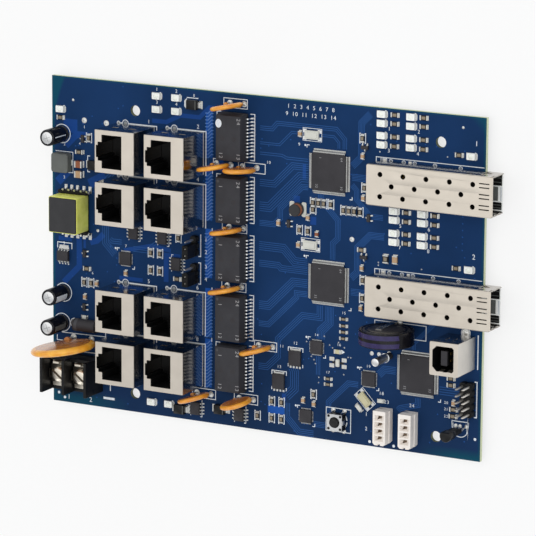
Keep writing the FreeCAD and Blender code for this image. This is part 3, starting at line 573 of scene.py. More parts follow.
class Signal:
    """A shader socket that joins in arithmetic: each operation adds one Math node."""

    def __init__(self, tree, socket):
        self.tree, self.socket = tree, socket

    def other(self, output):
        """Another output of the node that this signal comes from."""
        return Signal(self.tree, self.socket.node.outputs[output])

    def math(self, operation, *values):
        """One Math node on the given signals or numbers."""
        made = self.tree.nodes.new("ShaderNodeMath")
        made.operation = operation
        for socket, value in zip(made.inputs, values):
            feed(self.tree, socket, value)
        return Signal(self.tree, made.outputs[0])

    def __add__(self, other):
        return self.math("ADD", self, other)

    def __radd__(self, other):
        return self.math("ADD", other, self)

    def __sub__(self, other):
        return self.math("SUBTRACT", self, other)

    def __rsub__(self, other):
        return self.math("SUBTRACT", other, self)

    def __mul__(self, other):
        return self.math("MULTIPLY", self, other)

    def __rmul__(self, other):
        return self.math("MULTIPLY", other, self)

    def __truediv__(self, other):
        return self.math("DIVIDE", self, other)

    def __rtruediv__(self, other):
        return self.math("DIVIDE", other, self)

    def __gt__(self, other):
        return self.math("GREATER_THAN", self, other)

    def __lt__(self, other):
        return self.math("LESS_THAN", self, other)

    def sine(self):
        """Sine of the signal, in radians."""
        return self.math("SINE", self)

    def clip(self):
        """The signal kept between zero and one."""
        return self.math("MAXIMUM", self.math("MINIMUM", self, 1.0), 0.0)


def feed(tree, socket, value):
    """Links a signal to a socket, or sets the socket's own value."""
    if isinstance(value, Signal):
        tree.links.new(value.socket, socket)
    elif socket.type == "RGBA" and len(value) == 3:
        socket.default_value = (*value, 1.0)
    else:
        socket.default_value = value


class Nodes:
    """A node tree that hands out its sockets as signals."""

    def __init__(self, tree):
        self.tree = tree

    def node(self, kind, settings, values, output=0):
        """One node of a kind: its settings first, then the values or links of its sockets."""
        made = self.tree.nodes.new(kind)
        for key, value in settings.items():
            setattr(made, key, value)
        for key, value in values.items():
            feed(self.tree, made.inputs[key], value)
        return Signal(self.tree, made.outputs[output])


class Finish(Nodes):
    """One material on Object coordinates in millimetres, built up from nodes."""

    def __init__(self, name):
        self.material = bpy.data.materials.new(name)
        self.material.use_nodes = True
        super().__init__(self.material.node_tree)
        self.shader = self.tree.nodes["Principled BSDF"]
        where = self.node("ShaderNodeTexCoord", {}, {}, "Object")
        self.place = self.node("ShaderNodeVectorMath", {"operation": "SCALE"}, {0: where, "Scale": 1000.0})
        COATS[name] = self.material

    def stretched(self, scale):
        """Coordinates scaled along each axis."""
        return self.node("ShaderNodeMapping", {}, {"Vector": self.place, "Scale": scale})

    def noise(self, scale, detail=2.0, place=None):
        """Cloudy noise between zero and one."""
        values = {"Vector": place or self.place, "Scale": scale, "Detail": detail}
        return self.node("ShaderNodeTexNoise", {}, values)

    def cells(self, scale):
        """Distance to the nearest of many scattered points."""
        return self.node("ShaderNodeTexVoronoi", {}, {"Vector": self.place, "Scale": scale}, "Distance")

    def axes(self):
        """The three coordinates as separate signals."""
        split = self.node("ShaderNodeSeparateXYZ", {}, {0: self.place})
        return [split.other(axis) for axis in "XYZ"]

    def mix(self, share, first, second):
        """Colour between two colours."""
        return self.node("ShaderNodeMix", {"data_type": "RGBA"}, {0: share, 6: first, 7: second}, 2)

    def bump(self, height, strength, distance):
        """Normal of a relief whose depth is in millimetres."""
        values = {"Height": height, "Strength": strength, "Distance": distance / 1000}
        return self.node("ShaderNodeBump", {}, values)

    def set(self, **values):
        """Feeds the shader's sockets, named in lower case."""
        for key, value in values.items():
            feed(self.tree, self.shader.inputs[key.replace("_", " ").title().replace("Ior", "IOR")], value)


def moulded(name, dark, light, rough=0.42, relief=0.25, gloss=0.3):
    """Moulded plastic: cloudy colour, and a spark-eroded grain in roughness and relief."""
    coat = Finish(name)
    cloud = coat.noise(0.45, 3.0)
    grain = coat.noise(11.0, 2.0)
    coat.set(base_color=coat.mix((cloud * 1.6 - 0.3).clip(), dark, light))
    coat.set(roughness=rough + (grain - 0.5) * 0.3 + (cloud - 0.5) * 0.15)
    coat.set(normal=coat.bump(grain, relief, 0.03), specular_ior_level=gloss)


def plated(name, dull, bright, rough=0.28, along=(1.0, 1.0, 1.0), relief=0.12, inside=None):
    """Plated sheet: fine rolling lines along one way, faint tin clouding, and shade inside the given box."""
    coat = Finish(name)
    rolled = coat.noise(1.0, 4.0, coat.stretched(along))
    smudge = coat.noise(0.16, 2.0)
    grain = coat.noise(9.0, 2.0)
    colour = coat.mix((smudge * 0.8 + rolled * 0.4 + grain * 0.3 - 0.25).clip(), dull, bright)
    if inside:
        shade = 1.0
        for value, (low, high) in zip(coat.axes(), inside):
            shade = (value > low) * (value < high) * shade
        colour = coat.mix(shade * 0.93, colour, tone(30, 29, 28))
    coat.set(base_color=colour)
    coat.set(metallic=1.0, roughness=(rough + (smudge - 0.5) * 0.08 + (grain - 0.5) * 0.12).clip())
    coat.set(normal=coat.bump(rolled * 0.5 + grain * 0.5, relief, 0.03))


def dipped(name, deep, pale, rough=0.24):
    """Dipped epoxy coat: thick and thin places, an orange-peel skin and a few trapped bubbles."""
    coat = Finish(name)
    flow = coat.noise(0.3, 3.0)
    peel = coat.noise(2.4, 2.0)
    bubble = (coat.cells(1.1) < 0.12) * 0.6
    coat.set(base_color=coat.mix((flow * 1.8 - 0.4 - bubble * 0.5).clip(), deep, pale))
    coat.set(roughness=rough + (peel - 0.5) * 0.2, coat_weight=0.35, coat_roughness=0.12)
    coat.set(normal=coat.bump(peel + bubble, 0.3, 0.08))


def epoxy_case(name, dark, light, rough=0.5, gloss=0.22):
    """Moulded chip case: silica speckle in colour and roughness, and a fine matt relief."""
    coat = Finish(name)
    speck = coat.noise(14.0, 2.0)
    cloud = coat.noise(0.25, 2.0)
    coat.set(base_color=coat.mix((speck * 0.9 + cloud * 0.6 - 0.25).clip(), dark, light))
    coat.set(roughness=rough + (speck - 0.5) * 0.25, normal=coat.bump(speck, 0.3, 0.02),
             specular_ior_level=gloss)


def solder(name, dull, bright, rough=0.22):
    """Tinned metal: frosty grains against bright ones, with a slightly wavy skin."""
    coat = Finish(name)
    frost = coat.noise(2.2, 3.0)
    wave = coat.noise(0.9, 1.0)
    coat.set(base_color=coat.mix(frost, dull, bright), metallic=1.0)
    coat.set(roughness=rough + frost * 0.25, normal=coat.bump(wave + frost * 0.4, 0.25, 0.06))


def ink(name, worn, fresh):
    """Screen-printed ink: patchy cover with a matt, slightly rough skin."""
    coat = Finish(name)
    patch = coat.noise(1.6, 3.0)
    coat.set(base_color=coat.mix((patch * 1.5 - 0.2).clip(), worn, fresh))
    coat.set(roughness=0.55 + (patch - 0.5) * 0.3, normal=coat.bump(patch, 0.2, 0.02))


def mask(name, deep, pale, edge_dark=None, edge_pale=None):
    """Solder mask over glass cloth: crossed waves for the weave, colour drift, and laminate at cut edges."""
    coat = Finish(name)
    x, y, z = coat.axes()
    weave = (x * 9.0).sine() * (y * 9.0).sine()
    drift = coat.noise(0.035, 3.0)
    fleck = coat.noise(4.0, 2.0)
    colour = coat.mix((drift * 1.3 + fleck * 0.25 + weave * 0.04 - 0.28).clip(), deep, pale)
    rough = 0.46 + (fleck - 0.5) * 0.18 + (drift - 0.5) * 0.12
    if edge_dark:
        right, left = BOARD_HIGH.x * 1000 - x, x - BOARD_LOW.x * 1000
        back, front = BOARD_HIGH.y * 1000 - y, y - BOARD_LOW.y * 1000
        bend = (1 - back / 22).clip()
        bare = (1 - right / 1.1).clip() + (1 - back / 0.8).clip() + (1 - left / 1.2).clip()
        bare = bare + ((1.2 + bend * bend * 5 - left) * 0.8).clip() + ((7 - right - back) / 4).clip() * 0.7
        bare = bare + ((5.4 - front) / 3).clip() * ((34 - left) / 16).clip() * 0.8
        bare = bare + ((4 - front) / 3).clip() * ((24 - right) / 14).clip()
        # Painted shade: the mask darkens towards the front edge of the board.
        colour = coat.mix((1 - front / 50).clip() * 0.35, colour, tone(26, 38, 56))
        colour = coat.mix(bare.clip() * 0.7, colour, tone(12, 78, 94))
        inside = (z > 0.02) * (z < LAMINATE - 0.02)
        fibre = coat.noise(1.0, 3.0, coat.stretched((0.8, 0.8, 14.0)))
        # Inside the holes, away from the outer edges, the cut laminate is mixed towards dark olive: painted
        # shade on the hole walls.
        bore = (right > 0.5) * (left > 0.5) * (back > 0.5) * (front > 0.5)
        cut = coat.mix(bore * 0.75, coat.mix(fibre, edge_dark, edge_pale), tone(58, 58, 34))
        colour = coat.mix(inside, colour, cut)
        rough = rough + inside * 0.3
    coat.set(base_color=colour, roughness=rough, specular_ior_level=0.06)
    coat.set(normal=coat.bump(weave * 0.3 + fleck, 0.12, 0.02))


def sleeved(name, dark, light, rough, bands=(), band_dark=None, band_light=None, stop=0.0):
    """Shrink sleeve: a slightly wrinkled film, with coloured bands at set places in Y, up to a stop in X."""
    coat = Finish(name)
    x, y, _ = coat.axes()
    wrinkle = coat.noise(0.8, 3.0)
    film = coat.mix(wrinkle, dark, light)
    for low, high in bands:
        share = (y > low) * (y < high) * (x + wrinkle < stop)
        film = coat.mix(share, film, coat.mix(wrinkle, band_dark, band_light))
    coat.set(base_color=film, roughness=rough + (wrinkle - 0.5) * 0.25)
    coat.set(normal=coat.bump(wrinkle, 0.2, 0.08), specular_ior_level=0.28)


def make_finishes(colours):
    """All finishes of the board, from the panel's colours and the usual colours of such parts."""
    edges = tone(190, 198, 156), tone(236, 244, 212)
    mask("solder_mask", tuple(colours.mask_deep), tuple(colours.mask_pale), *edges)
    mask("covered_copper", tuple(colours.copper_deep), tuple(colours.copper_pale))
    mask("covered_trace", tone(33, 71, 126), tone(50, 92, 152))
    mask("soft_pour", tone(20, 56, 114), tone(32, 74, 146))
    mask("bright_pour", tone(22, 66, 140), tone(40, 96, 184))
    mask("pale_stroke", tone(70, 110, 176), tone(112, 148, 204))
    ink("white_ink", tone(204, 212, 220), tone(240, 244, 248))
    solder("solder", tone(176, 176, 174), tone(236, 236, 232))
    solder("joint_grey", tone(104, 108, 112), tone(166, 170, 172), 0.3)
    ink("grey_ink", tone(138, 138, 140), tone(176, 176, 178))
    solder("gold", tone(178, 132, 52), tone(240, 204, 120), 0.16)
    plated("jack_tin", tone(206, 197, 185), tuple(colours.jack_tin), 0.34, (0.4, 6.0, 0.4))
    # The upright walls of the jacks and USB shell take a smoother, darker copy of the tin: the darker colour
    # is painted shade.
    plated("jack_wall", tone(176, 172, 168), tone(196, 192, 186), 0.15, (0.4, 0.4, 5.0), 0.05)
    plated("usb_side", tone(196, 192, 186), tone(232, 227, 219), 0.46, (3.0, 3.0, 3.0), 0.3)
    # Painted shade for the cages: the walls and floor take darker copies of the sheet, and the floor darkens
    # again inside this box.
    low = HOME[2] * 1000
    room = [(-300.0, 300.0), (-300.0, 300.0), (low + 0.3, low + 9.3)]
    plated("cage_sheet", tone(206, 197, 184), tuple(colours.cage_sheet), 0.34, (0.25, 5.0, 5.0))
    plated("cage_wall", tone(170, 166, 160), tone(200, 194, 186), 0.16, (0.25, 0.25, 5.0), 0.06)
    plated("cage_room", tone(150, 144, 136), tone(170, 164, 154), 0.4, (0.25, 5.0, 5.0), 0.1, room)
    plated("bright_steel", tone(178, 175, 168), tone(230, 226, 218), 0.22, (2.0, 2.0, 0.6))
    plated("clamp_steel", tone(70, 66, 60), tone(112, 106, 98), 0.3, (2.0, 2.0, 0.6))
    plated("screw_tin", tone(212, 202, 186), tone(248, 240, 226), 0.34, (2.0, 2.0, 0.6))
    plated("aluminium", tone(206, 207, 208), tone(238, 238, 238), 0.3, (3.0, 3.0, 0.5))
    moulded("black_moulding", tone(9, 9, 10), tone(22, 22, 23), gloss=0.2)
    moulded("terminal_black", tone(11, 11, 12), tone(26, 26, 27), 0.34, gloss=0.25)
    moulded("white_moulding", tone(236, 228, 220), tone(250, 244, 238), 0.45)
    # Tan for the floor under the wire headers' pockets: painted shade.
    moulded("pocket_shade_tan", tone(146, 122, 100), tone(184, 160, 136), 0.5)
    moulded("wheel_grey", tone(14, 14, 15), tone(32, 32, 33), 0.38)
    epoxy_case("module_epoxy", tone(42, 42, 46), tone(64, 64, 69))
    epoxy_case("chip_epoxy", tone(42, 41, 44), tone(64, 62, 66), 0.46)
    epoxy_case("mark_grey", tone(64, 64, 68), tone(86, 86, 90), 0.5)
    epoxy_case("ferrite", tone(44, 44, 46), tone(64, 64, 66), 0.6)
    epoxy_case("coin_face", tone(22, 21, 24), tone(52, 50, 54), 0.3, 0.4)
    epoxy_case("inductor_grey", tone(84, 87, 85), tone(112, 115, 112), 0.55)
    epoxy_case("chip_tan", tone(168, 134, 100), tone(206, 174, 140), 0.5)
    epoxy_case("chip_brown", tone(120, 68, 46), tone(166, 104, 74), 0.5)
    epoxy_case("resistor_black", tone(26, 26, 28), tone(46, 46, 48), 0.4)
    epoxy_case("resistor_top", tone(122, 112, 96), tone(158, 144, 124), 0.45)
    epoxy_case("ceramic_white", tone(196, 196, 188), tone(222, 222, 214), 0.45)
    epoxy_case("crystal_lid", tone(184, 178, 144), tone(212, 206, 172), 0.4)
    epoxy_case("lamp_body", tone(242, 244, 240), tone(253, 254, 252), 0.4)
    epoxy_case("lamp_lens", tone(236, 240, 228), tone(252, 254, 248), 0.18)
    # Each dipped disc has its coat and a darker copy of it for the faces: the darker copy is painted shade.
    dipped("fuse_coat", tone(214, 126, 26), tone(250, 178, 58))
    dipped("fuse_coat_shaded", tone(166, 92, 26), tone(214, 134, 48))
    dipped("varistor_coat", tone(228, 140, 24), tone(254, 190, 62))
    dipped("varistor_coat_shaded", tone(164, 92, 26), tone(218, 140, 52))
    moulded("yellow_tape", tone(232, 236, 100), tone(252, 253, 140), 0.34, 0.15)
    sleeved("can_sleeve", tone(8, 9, 13), tone(24, 25, 31), 0.2)
    # The coin sleeve's bands stop in X, so the coin's right part shows only the dark film: painted shade
    # there.
    x, y = HOME[:2] * 1000 + COIN
    bands = [(y - 2.3, y - 0.6), (y + 0.6, y + 2.3)]
    sleeved("coin_sleeve", tone(6, 6, 10), tone(16, 15, 22), 0.24, bands, tone(38, 32, 66), tone(60, 52, 102),
            x + 8.5)


# Pieces


class BoardSizes(bpy.types.PropertyGroup):
    """Small sizes of the dressing that a user may change."""

    line_width: bpy.props.FloatProperty(
        name="Print line", description="Width of the printed lines, in millimetres",
        default=0.28, min=0.1, max=1.0)
    trace_width: bpy.props.FloatProperty(
        name="Trace", description="Width of a signal trace, in millimetres", default=0.26, min=0.1, max=1.0)
    vent_diameter: bpy.props.FloatProperty(
        name="Cage vent", description="Diameter of the cages' vent holes, in millimetres",
        default=1.9, min=0.5, max=3.0)
    lens: bpy.props.FloatProperty(
        name="Lens", description="Focal length of the camera on a 36 mm sensor",
        default=249.7, min=20.0, subtype="DISTANCE_CAMERA")
    light: bpy.props.FloatProperty(
        name="Light", description="Power of the main soft lamp", default=5.6, min=0.0, subtype="POWER")


class BoardColours(bpy.types.PropertyGroup):
    """Colours of the board and its plain metal that a user may change."""

    mask_deep: bpy.props.FloatVectorProperty(
        name="Mask, deep", description="Darker colour of the solder mask",
        subtype="COLOR", default=tone(15, 42, 76))
    mask_pale: bpy.props.FloatVectorProperty(
        name="Mask, pale", description="Lighter colour of the solder mask",
        subtype="COLOR", default=tone(26, 60, 108))
    copper_deep: bpy.props.FloatVectorProperty(
        name="Copper, deep", description="Darker colour of mask over copper",
        subtype="COLOR", default=tone(24, 62, 122))
    copper_pale: bpy.props.FloatVectorProperty(
        name="Copper, pale", description="Lighter colour of mask over copper",
        subtype="COLOR", default=tone(42, 90, 160))
    jack_tin: bpy.props.FloatVectorProperty(
        name="Jack shields", description="Bright colour of the jacks' tinned sheet",
        subtype="COLOR", default=tone(226, 217, 205))
    cage_sheet: bpy.props.FloatVectorProperty(
        name="Cage sheet", description="Bright colour of the cages' sheet",
        subtype="COLOR", default=tone(228, 219, 206))


class SWITCHBOARD_OT_finishes(bpy.types.Operator):
    """Makes every finish"""

    bl_idname = "switch_board.finishes"
    bl_label = "Finishes"

    def execute(self, context):
        make_finishes(context.scene.board_colours)
        return {"FINISHED"}


def digit_marks():
    """Each digit as a flat part: its outline is filled as a text curve, and the mesh's arrays are kept."""
    marks = {}
    for digit in "0123456789":
        curve = bpy.data.curves.new("digit", "FONT")
        curve.body = digit
        curve.align_x = "CENTER"
        holder = bpy.data.objects.new("digit", curve)
        mesh = bpy.data.meshes.new_from_object(holder)
        points = np.empty(len(mesh.vertices) * 3)
        mesh.vertices.foreach_get("co", points)
        corners = np.empty(len(mesh.loops), np.int32)
        mesh.loops.foreach_get("vertex_index", corners)
        totals = np.empty(len(mesh.polygons), np.int32)
        mesh.polygons.foreach_get("loop_total", totals)
        if set(totals) != {3}:
            raise RuntimeError("a digit is not made of triangles")
        marks[digit] = (points.reshape(-1, 3), [corners.reshape(-1, 3)])
        bpy.data.objects.remove(holder)
        bpy.data.curves.remove(curve)
        bpy.data.meshes.remove(mesh)
    return marks


def board_copper(width):
    """Runs of parallel traces, each the offset of one path by whole pitches, and wide pours under the mask.

    Every run and every pour lies a hair above the one before it, so that no two share a level.
    """
    form = Form()
    for step, (path, count, pitch) in enumerate(TRACE_RUNS):
        for lane in lanes(path, count, pitch):
            form.add(ribbon(lane, width, 0.0105 + step * 0.0002), 1)
    for step, (path, breadth, coat) in enumerate(POURS):
        form.add(ribbon(path, breadth, 0.004 + step * 0.0003), coat)
    dash = ribbon([(-1.7, -1.0), (-0.5, -1.0), (0.9, 0.4), (1.7, 0.4)], 0.3, 0.018)
    for x, y in MODULES:
        form.add(ribbon([(x - 11.0, y - 9.2), (x - 11.0, y + 9.2)], 2.8, 0.0035), BRIGHT_POUR)
        form.add(dash, 3, ranks([(x, y)], row(14, LEAD_PITCH), -11.0))
    for path, count, pitch in UNDERSIDE_RUNS:
        for lane in lanes(path[::-1], count, pitch):
            form.add(flipped(ribbon(lane, 0.35, -LAMINATE - 0.016)))
    coats = ["covered_copper", "covered_trace", "bright_pour", "pale_stroke", "soft_pour"]
    form.piece("board_copper", coats, "solder_mask")


def board_pads():
    """Tinned pads and plated vias: flat discs and blocks a hair above the mask, open vias with a dark bore."""
    form = Form()
    grey_pads = [(x + JACK_PAD, y + JACK_ROW, 0.8) for x, y in JACKS]
    grey_pads += [(x + JACK_HOLE, y + JACK_ROW, 0.4) for x, y in JACKS]
    grey_pads += [(ring, y + CAGE_ROW, 0.4) for x, y in CAGES for ring in CAGE_RINGS]
    for x, y, radius in grey_pads:
        dome = [(radius, 0.0), (radius * 0.94, 0.06), (radius * 0.5, 0.12), (0.04, 0.13)]
        form.add(turned(dome, 16), 2, [(x, y)])
    for x, y in CAGES:
        form.add(spot(outline(1.2, 1.2)), 0, [(49.4, y + CAGE_ROW), (59.4, y + CAGE_ROW)])
    round_pads = ROUND_PADS + [(x, y, 1.15) for x, y in flanks(FUSES, FUSE_SPREAD)]
    round_pads += [(x, y + 0.9, 1.3) for x, y in flanks([VARISTOR], VARISTOR_SPREAD)]
    for x, y, radius in round_pads:
        rim = [(radius, 0.0), (radius * 0.97, 0.05), (radius * 0.62, 0.07), (0.05, 0.07)]
        dome = [(radius * 0.62, 0.05), (radius * 0.5, 0.12), (radius * 0.2, 0.2), (0.04, 0.2)]
        form.add(turned(rim, 18), 0, [(x, y)]).add(turned(dome, 14), 0, [(x, y)])
    form.add(block(1.3, 2.6, 0.0, 0.07, 0.2, 0.03), 0, grid(TRANSFORMER_PINS, (20.3, 2.7)))
    rng = np.random.default_rng(11)
    spread = rng.uniform((-86, -61), (87, 61), (170, 2))
    # The open vias' bores are flat discs in the solder mask finish: painted shade in the holes.
    ring, bore = spot(circle(0.26, 10), 0.022), spot(circle(0.12, 8), 0.026)
    form.add(ring, 0, OPEN_VIAS).add(bore, 1, OPEN_VIAS)
    tented = np.concatenate([[(80.4, y) for y in np.arange(14, 29, 2.4)], spread])
    form.add(ring, 3, tented)
    form.add(spot(circle(0.34, 10)[::-1], -LAMINATE - 0.022), 0, np.concatenate([OPEN_VIAS, tented]))
    form.piece("board_pads", ["solder", "solder_mask", "joint_grey", "covered_copper"], "lead_tin")


def printed_lines(width):
    """White outlines, brackets, rings and dots, as ribbons and discs printed on the mask."""
    form = Form()

    def lines(*paths, closed=False, thick=width):
        """Prints each path as one line."""
        for path in paths:
            form.add(ribbon(path, thick, PRINT_LEVEL, closed))

    def frame_of(x0, x1, y0, y1, thick=width):
        """Prints a closed rectangle between two corners."""
        lines([(x0, y0), (x1, y0), (x1, y1), (x0, y1)], closed=True, thick=thick)

    def brackets(x, y, inner, outer, half, thick):
        """Prints two brackets that face each other across a part."""
        for k in (1, -1):
            near, far = x + k * inner, x + k * outer
            lines([(near, y + half), (far, y + half), (far, y - half), (near, y - half)], thick=thick)

    def dots(radius, places):
        """Prints filled discs."""
        form.add(spot(circle(radius, 12), PRINT_LEVEL), 0, places)

    for x, y in JACKS:
        top, right = y + JACK_ROW, x + 8.75
        lines([(x - 3.2, top), (right, top), (right, y - 8.35)], [(x - 7.0, top), (x - 5.9, top)], thick=0.36)
        lines(circle(0.55, 16, x + JACK_HOLE, top), circle(1.25, 20, x + JACK_PAD, top), closed=True)
    for x, y in CAGES:
        top, low = y + 8.2, y - 7.9
        lines([(46, y + 6.2), (46, top), (88.4, top)], [(47.9, y + 6.2), (47.9, top)],
              [(46, low), (88.4, low)])
        frame_of(48.6, 50.2, y + 6.3, y + 7.9, 0.2)
        lines(*[circle(0.7, 14, ring, y + CAGE_ROW) for ring in CAGE_RINGS], closed=True, thick=0.2)
    for corners in PRINTED_FRAMES:
        frame_of(*corners)
    lines([(-87.2, -36.5), (-87.2, -38.5), (-84, -38.5)], [(-85, -35.4), (-66, -35), (-66, -33.4)],
          [(-87.5, 33.9), (-80, 33.9), (-80, 26.1), (-87.5, 26.1)])
    lines(*[circle(3.5, 32, x, y) for x, y in CANS], closed=True, thick=0.34)
    lines([(87.3, -16), (87.3, -28.6)],
          [(86.2, -33.2), (87.2, -33.2), (87.2, -46.2), (86.2, -46.2)], thick=0.4)
    lines([(-25.6, 8.3), (-25.4, 8.3), (-25.4, 0.2), (-26.4, 0.2)],
          [(-26.4, -2.2), (-25.4, -2.2), (-25.4, -10.2), (-26.4, -10.2)], thick=0.34)
    arc = circle(4.0, 40, 31.6, -54.4)
    lines(arc[arc[:, 0] > 34.6], thick=0.4)
    bow = circle(3.1, 40, *SENSOR)
    bow = bow[bow[:, 1] < -49.4]
    left, right = (77.6, -48.4), (84.2, -48.4)
    lines(np.concatenate([[left], bow[np.argsort(bow[:, 0])], [right]]), [left, right])
    for x, y in MODULES:
        lines([(x - 9.6, y + 9.6), (x - 9.6, y + 8.2)])
        brackets(x, y, 6.0, 7.8, 8.5, 0.34)
    for x, y, span in [(x, y, 9.2) for x, y in QUADS] + [(x, y, reach) for x, y, _, _, reach in NO_LEAD_CHIPS]:
        left, right, low, top = x - span, x + span, y - span, y + span
        lines([(left, top - 1), (left, top), (left + 1, top)],
              [(right - 1, low), (right, low), (right, low + 1)])
        dots(0.4, [(left - 0.7, top - 0.2)])
    for x, y in EIGHT_LEAD_CHIPS:
        lines([(x - 2.4, y - 3.2), (x - 2.4, y + 3.2), (x - 1.6, y + 3.2)],
              [(x + 2.4, y + 3.2), (x + 2.4, y - 3.2), (x + 1.6, y - 3.2)], thick=0.22)
    for x, y in UPRIGHT_CHIPS:
        brackets(x, y, 0.8, 1.15, 1.75, 0.3)
    nose = np.array([(1.2, 1.3), (1.55, 1.3), (2.1, 0.75), (2.1, -0.75), (1.55, -1.3), (1.2, -1.3)])
    lines(*[nose + lamp for lamp in LAMPS], thick=0.3)
    for x, y in POWER_CHIPS:
        left, right = x - 3.0, x + 3.0
        lines([(left, y + 2.4), (left, y + 3.9), (right, y + 3.9), (right, y + 2.4)], thick=0.3)
        lines([(left, y - 2.2), (left, y - 3.4)], [(right, y - 2.2), (right, y - 3.4)], thick=0.3)
    lines(circle(1.75, 24, 82.4, -15.7), circle(1.8, 24, -79.5, -31.2), closed=True)
    lines([(-86.8, -3.0), (-86.8, -0.8), (-80.6, -0.8), (-80.6, -3.0)],
          [(-72.6, 33.2), (-73.6, 33.2), (-73.6, 27.2), (-72.6, 27.2)], thick=0.3)
    lines([(-31.4, 58.5), (-32.3, 57.6), (-32.3, 55.6), (-31.4, 54.7)],
          [(-31.4, 58.9), (-26.6, 58.9)], thick=0.34)
    form.add(spot(np.array([(33.2, -29.5), (34.4, -28.7), (33.2, -27.9)]), PRINT_LEVEL))
    for x, y, turn in FLAT_CRYSTALS:
        form.add(ribbon(outline(7.6, 4.6), 0.2, PRINT_LEVEL, True), 0, [(x, y)], turn)
    dots(0.55, [(-83.9, -60.5), (-86.5, -58.9), (54.6, -61.0), (86.8, -54.2), (44.9, -60.6)])
    form.add(spot(outline(4.8, 0.9), PRINT_LEVEL), 0, [(-64.6, -58.6)])
    lines([(-88.2, -41.9), (-64.0, -41.9), (-64.0, -55.6)], thick=0.36)
    form.piece("board_print", ["white_ink"], "solder_mask")


def printed_numbers():
    """Plain numbers: each digit's mark is scaled to its height and copied to its place in the number."""
    marks = digit_marks()
    font_height, font_step = 0.72, 0.62

    def number(form, text, place, height, turn=0.0):
        """Adds one number, centred on its place."""
        scale = height / font_height
        for shift, digit in zip(row(len(text), font_step), text):
            if digit in marks:
                points, faces = marks[digit]
                form.add(((points + (shift, 0, 0)) * (scale, scale, 0), faces), 0, [place], turn)

    form = Form()
    for text, x, y, height in BOARD_NUMBERS:
        number(form, text, (x, y, NUMBER_LEVEL), height)
    form.piece("board_numbers", ["white_ink"], "solder_mask")
    form = Form()
    for text, x, y, height, z in CASE_NUMBERS:
        number(form, text, (x, y, z), height, -90.0)
    form.piece("case_numbers", ["grey_ink"], "module_epoxy")


class SWITCHBOARD_OT_laminate(bpy.types.Operator):
    """Solder mask, covered copper, pads, vias and white print of the bare board"""

    bl_idname = "switch_board.laminate"
    bl_label = "Bare board"

    def execute(self, context):
        sizes = context.scene.board_sizes
        dress(["board"], "solder_mask")
        board_copper(sizes.trace_width)
        board_pads()
        printed_lines(sizes.line_width)
        printed_numbers()
        return {"FINISHED"}


def jack_shields():
    """Front sheet with a stepped window, four upright walls, and the inserts' lugs in the side slots."""
    sheet, lug_spread = 0.36, (-3.6, 3.6)
    window = [(-5.35, -6.25), (3.05, -6.25), (3.05, 6.25), (-5.35, 6.25), (-5.35, 3.5), (-7.0, 3.5),
              (-7.0, 2.25), (-7.75, 2.25), (-7.75, -2.25), (-7.0, -2.25), (-7.0, -3.5), (-5.35, -3.5)]
    rim = [(-8.2, -7.9), (8.2, -7.9), (8.2, -2.6), (7.95, -2.4), (7.95, -1.0), (8.2, -0.8), (8.2, 7.9),
           (-8.2, 7.9)]
    lip = [(3.05, -2.4), (3.45, -2.4), (3.45, 2.4), (3.05, 2.4)]
    end_wall = plate([outline(15.8, 15.6)], 0, sheet)
    side_wall = plate([outline(16.4, 15.6)] + [outline(2.6, 1.6) + (x, 1.2) for x in lug_spread], 0, sheet)
    form = Form().add(plate([rim, window], 15.62, 16.0), 0, JACKS).add(plate([lip], 15.3, 15.62), 0, JACKS)
    for side in (1, -1):
        form.add(stood(end_wall, (side * (8.22 - sheet), 0, 7.9), 90 * side), 2, JACKS)
        form.add(stood(side_wall, (0, side * (7.93 - sheet), 7.9), 90 + 90 * side), 2, JACKS)
    lug = loft([raised(outline(2.3, 1.3), 0), raised(outline(2.3, 0.5) + (0, 0.3), 0.5)])
    for side in (1, -1):
        for x in lug_spread:
            form.add(stood(lug, (x, side * 7.4, 9.1), 90 + 90 * side), 1, JACKS)
    coats = ["jack_tin", "black_moulding", "jack_wall"]
    form.piece("jack_shields", coats, "jack_tin", numbered("jack_shield", 8), bevel=0.07)


class SWITCHBOARD_OT_jacks(bpy.types.Operator):
    """Upright network jacks: folded shields with stepped windows, black inserts and sprung contacts"""

    bl_idname = "switch_board.jacks"
    bl_label = "Network jacks"

    def execute(self, context):
        jack_shields()
        dress(numbered("jack_insert", 8), "black_moulding", 0.1)
        path = [(3.15, 13.9), (2.7, 13.9), (2.35, 13.4), (1.7, 10.6), (1.0, 7.6), (0.55, 6.1), (0.5, 5.4)]
        springs = Form().add(strip(path, 0.42, 0.2), 0, ranks(JACKS, row(8, CONTACT_PITCH)))
        springs.piece("jack_springs", ["gold"], "contact_gold", ["jack_contacts"])
        tooth = block(0.5, 0.28, 4.0, 14.6, edge=0.06)
        combs = Form().add(tooth, 0, ranks(JACKS, row(9, CONTACT_PITCH), 2.95))
        combs.piece("jack_combs", ["black_moulding"], "black_moulding")
        return {"FINISHED"}


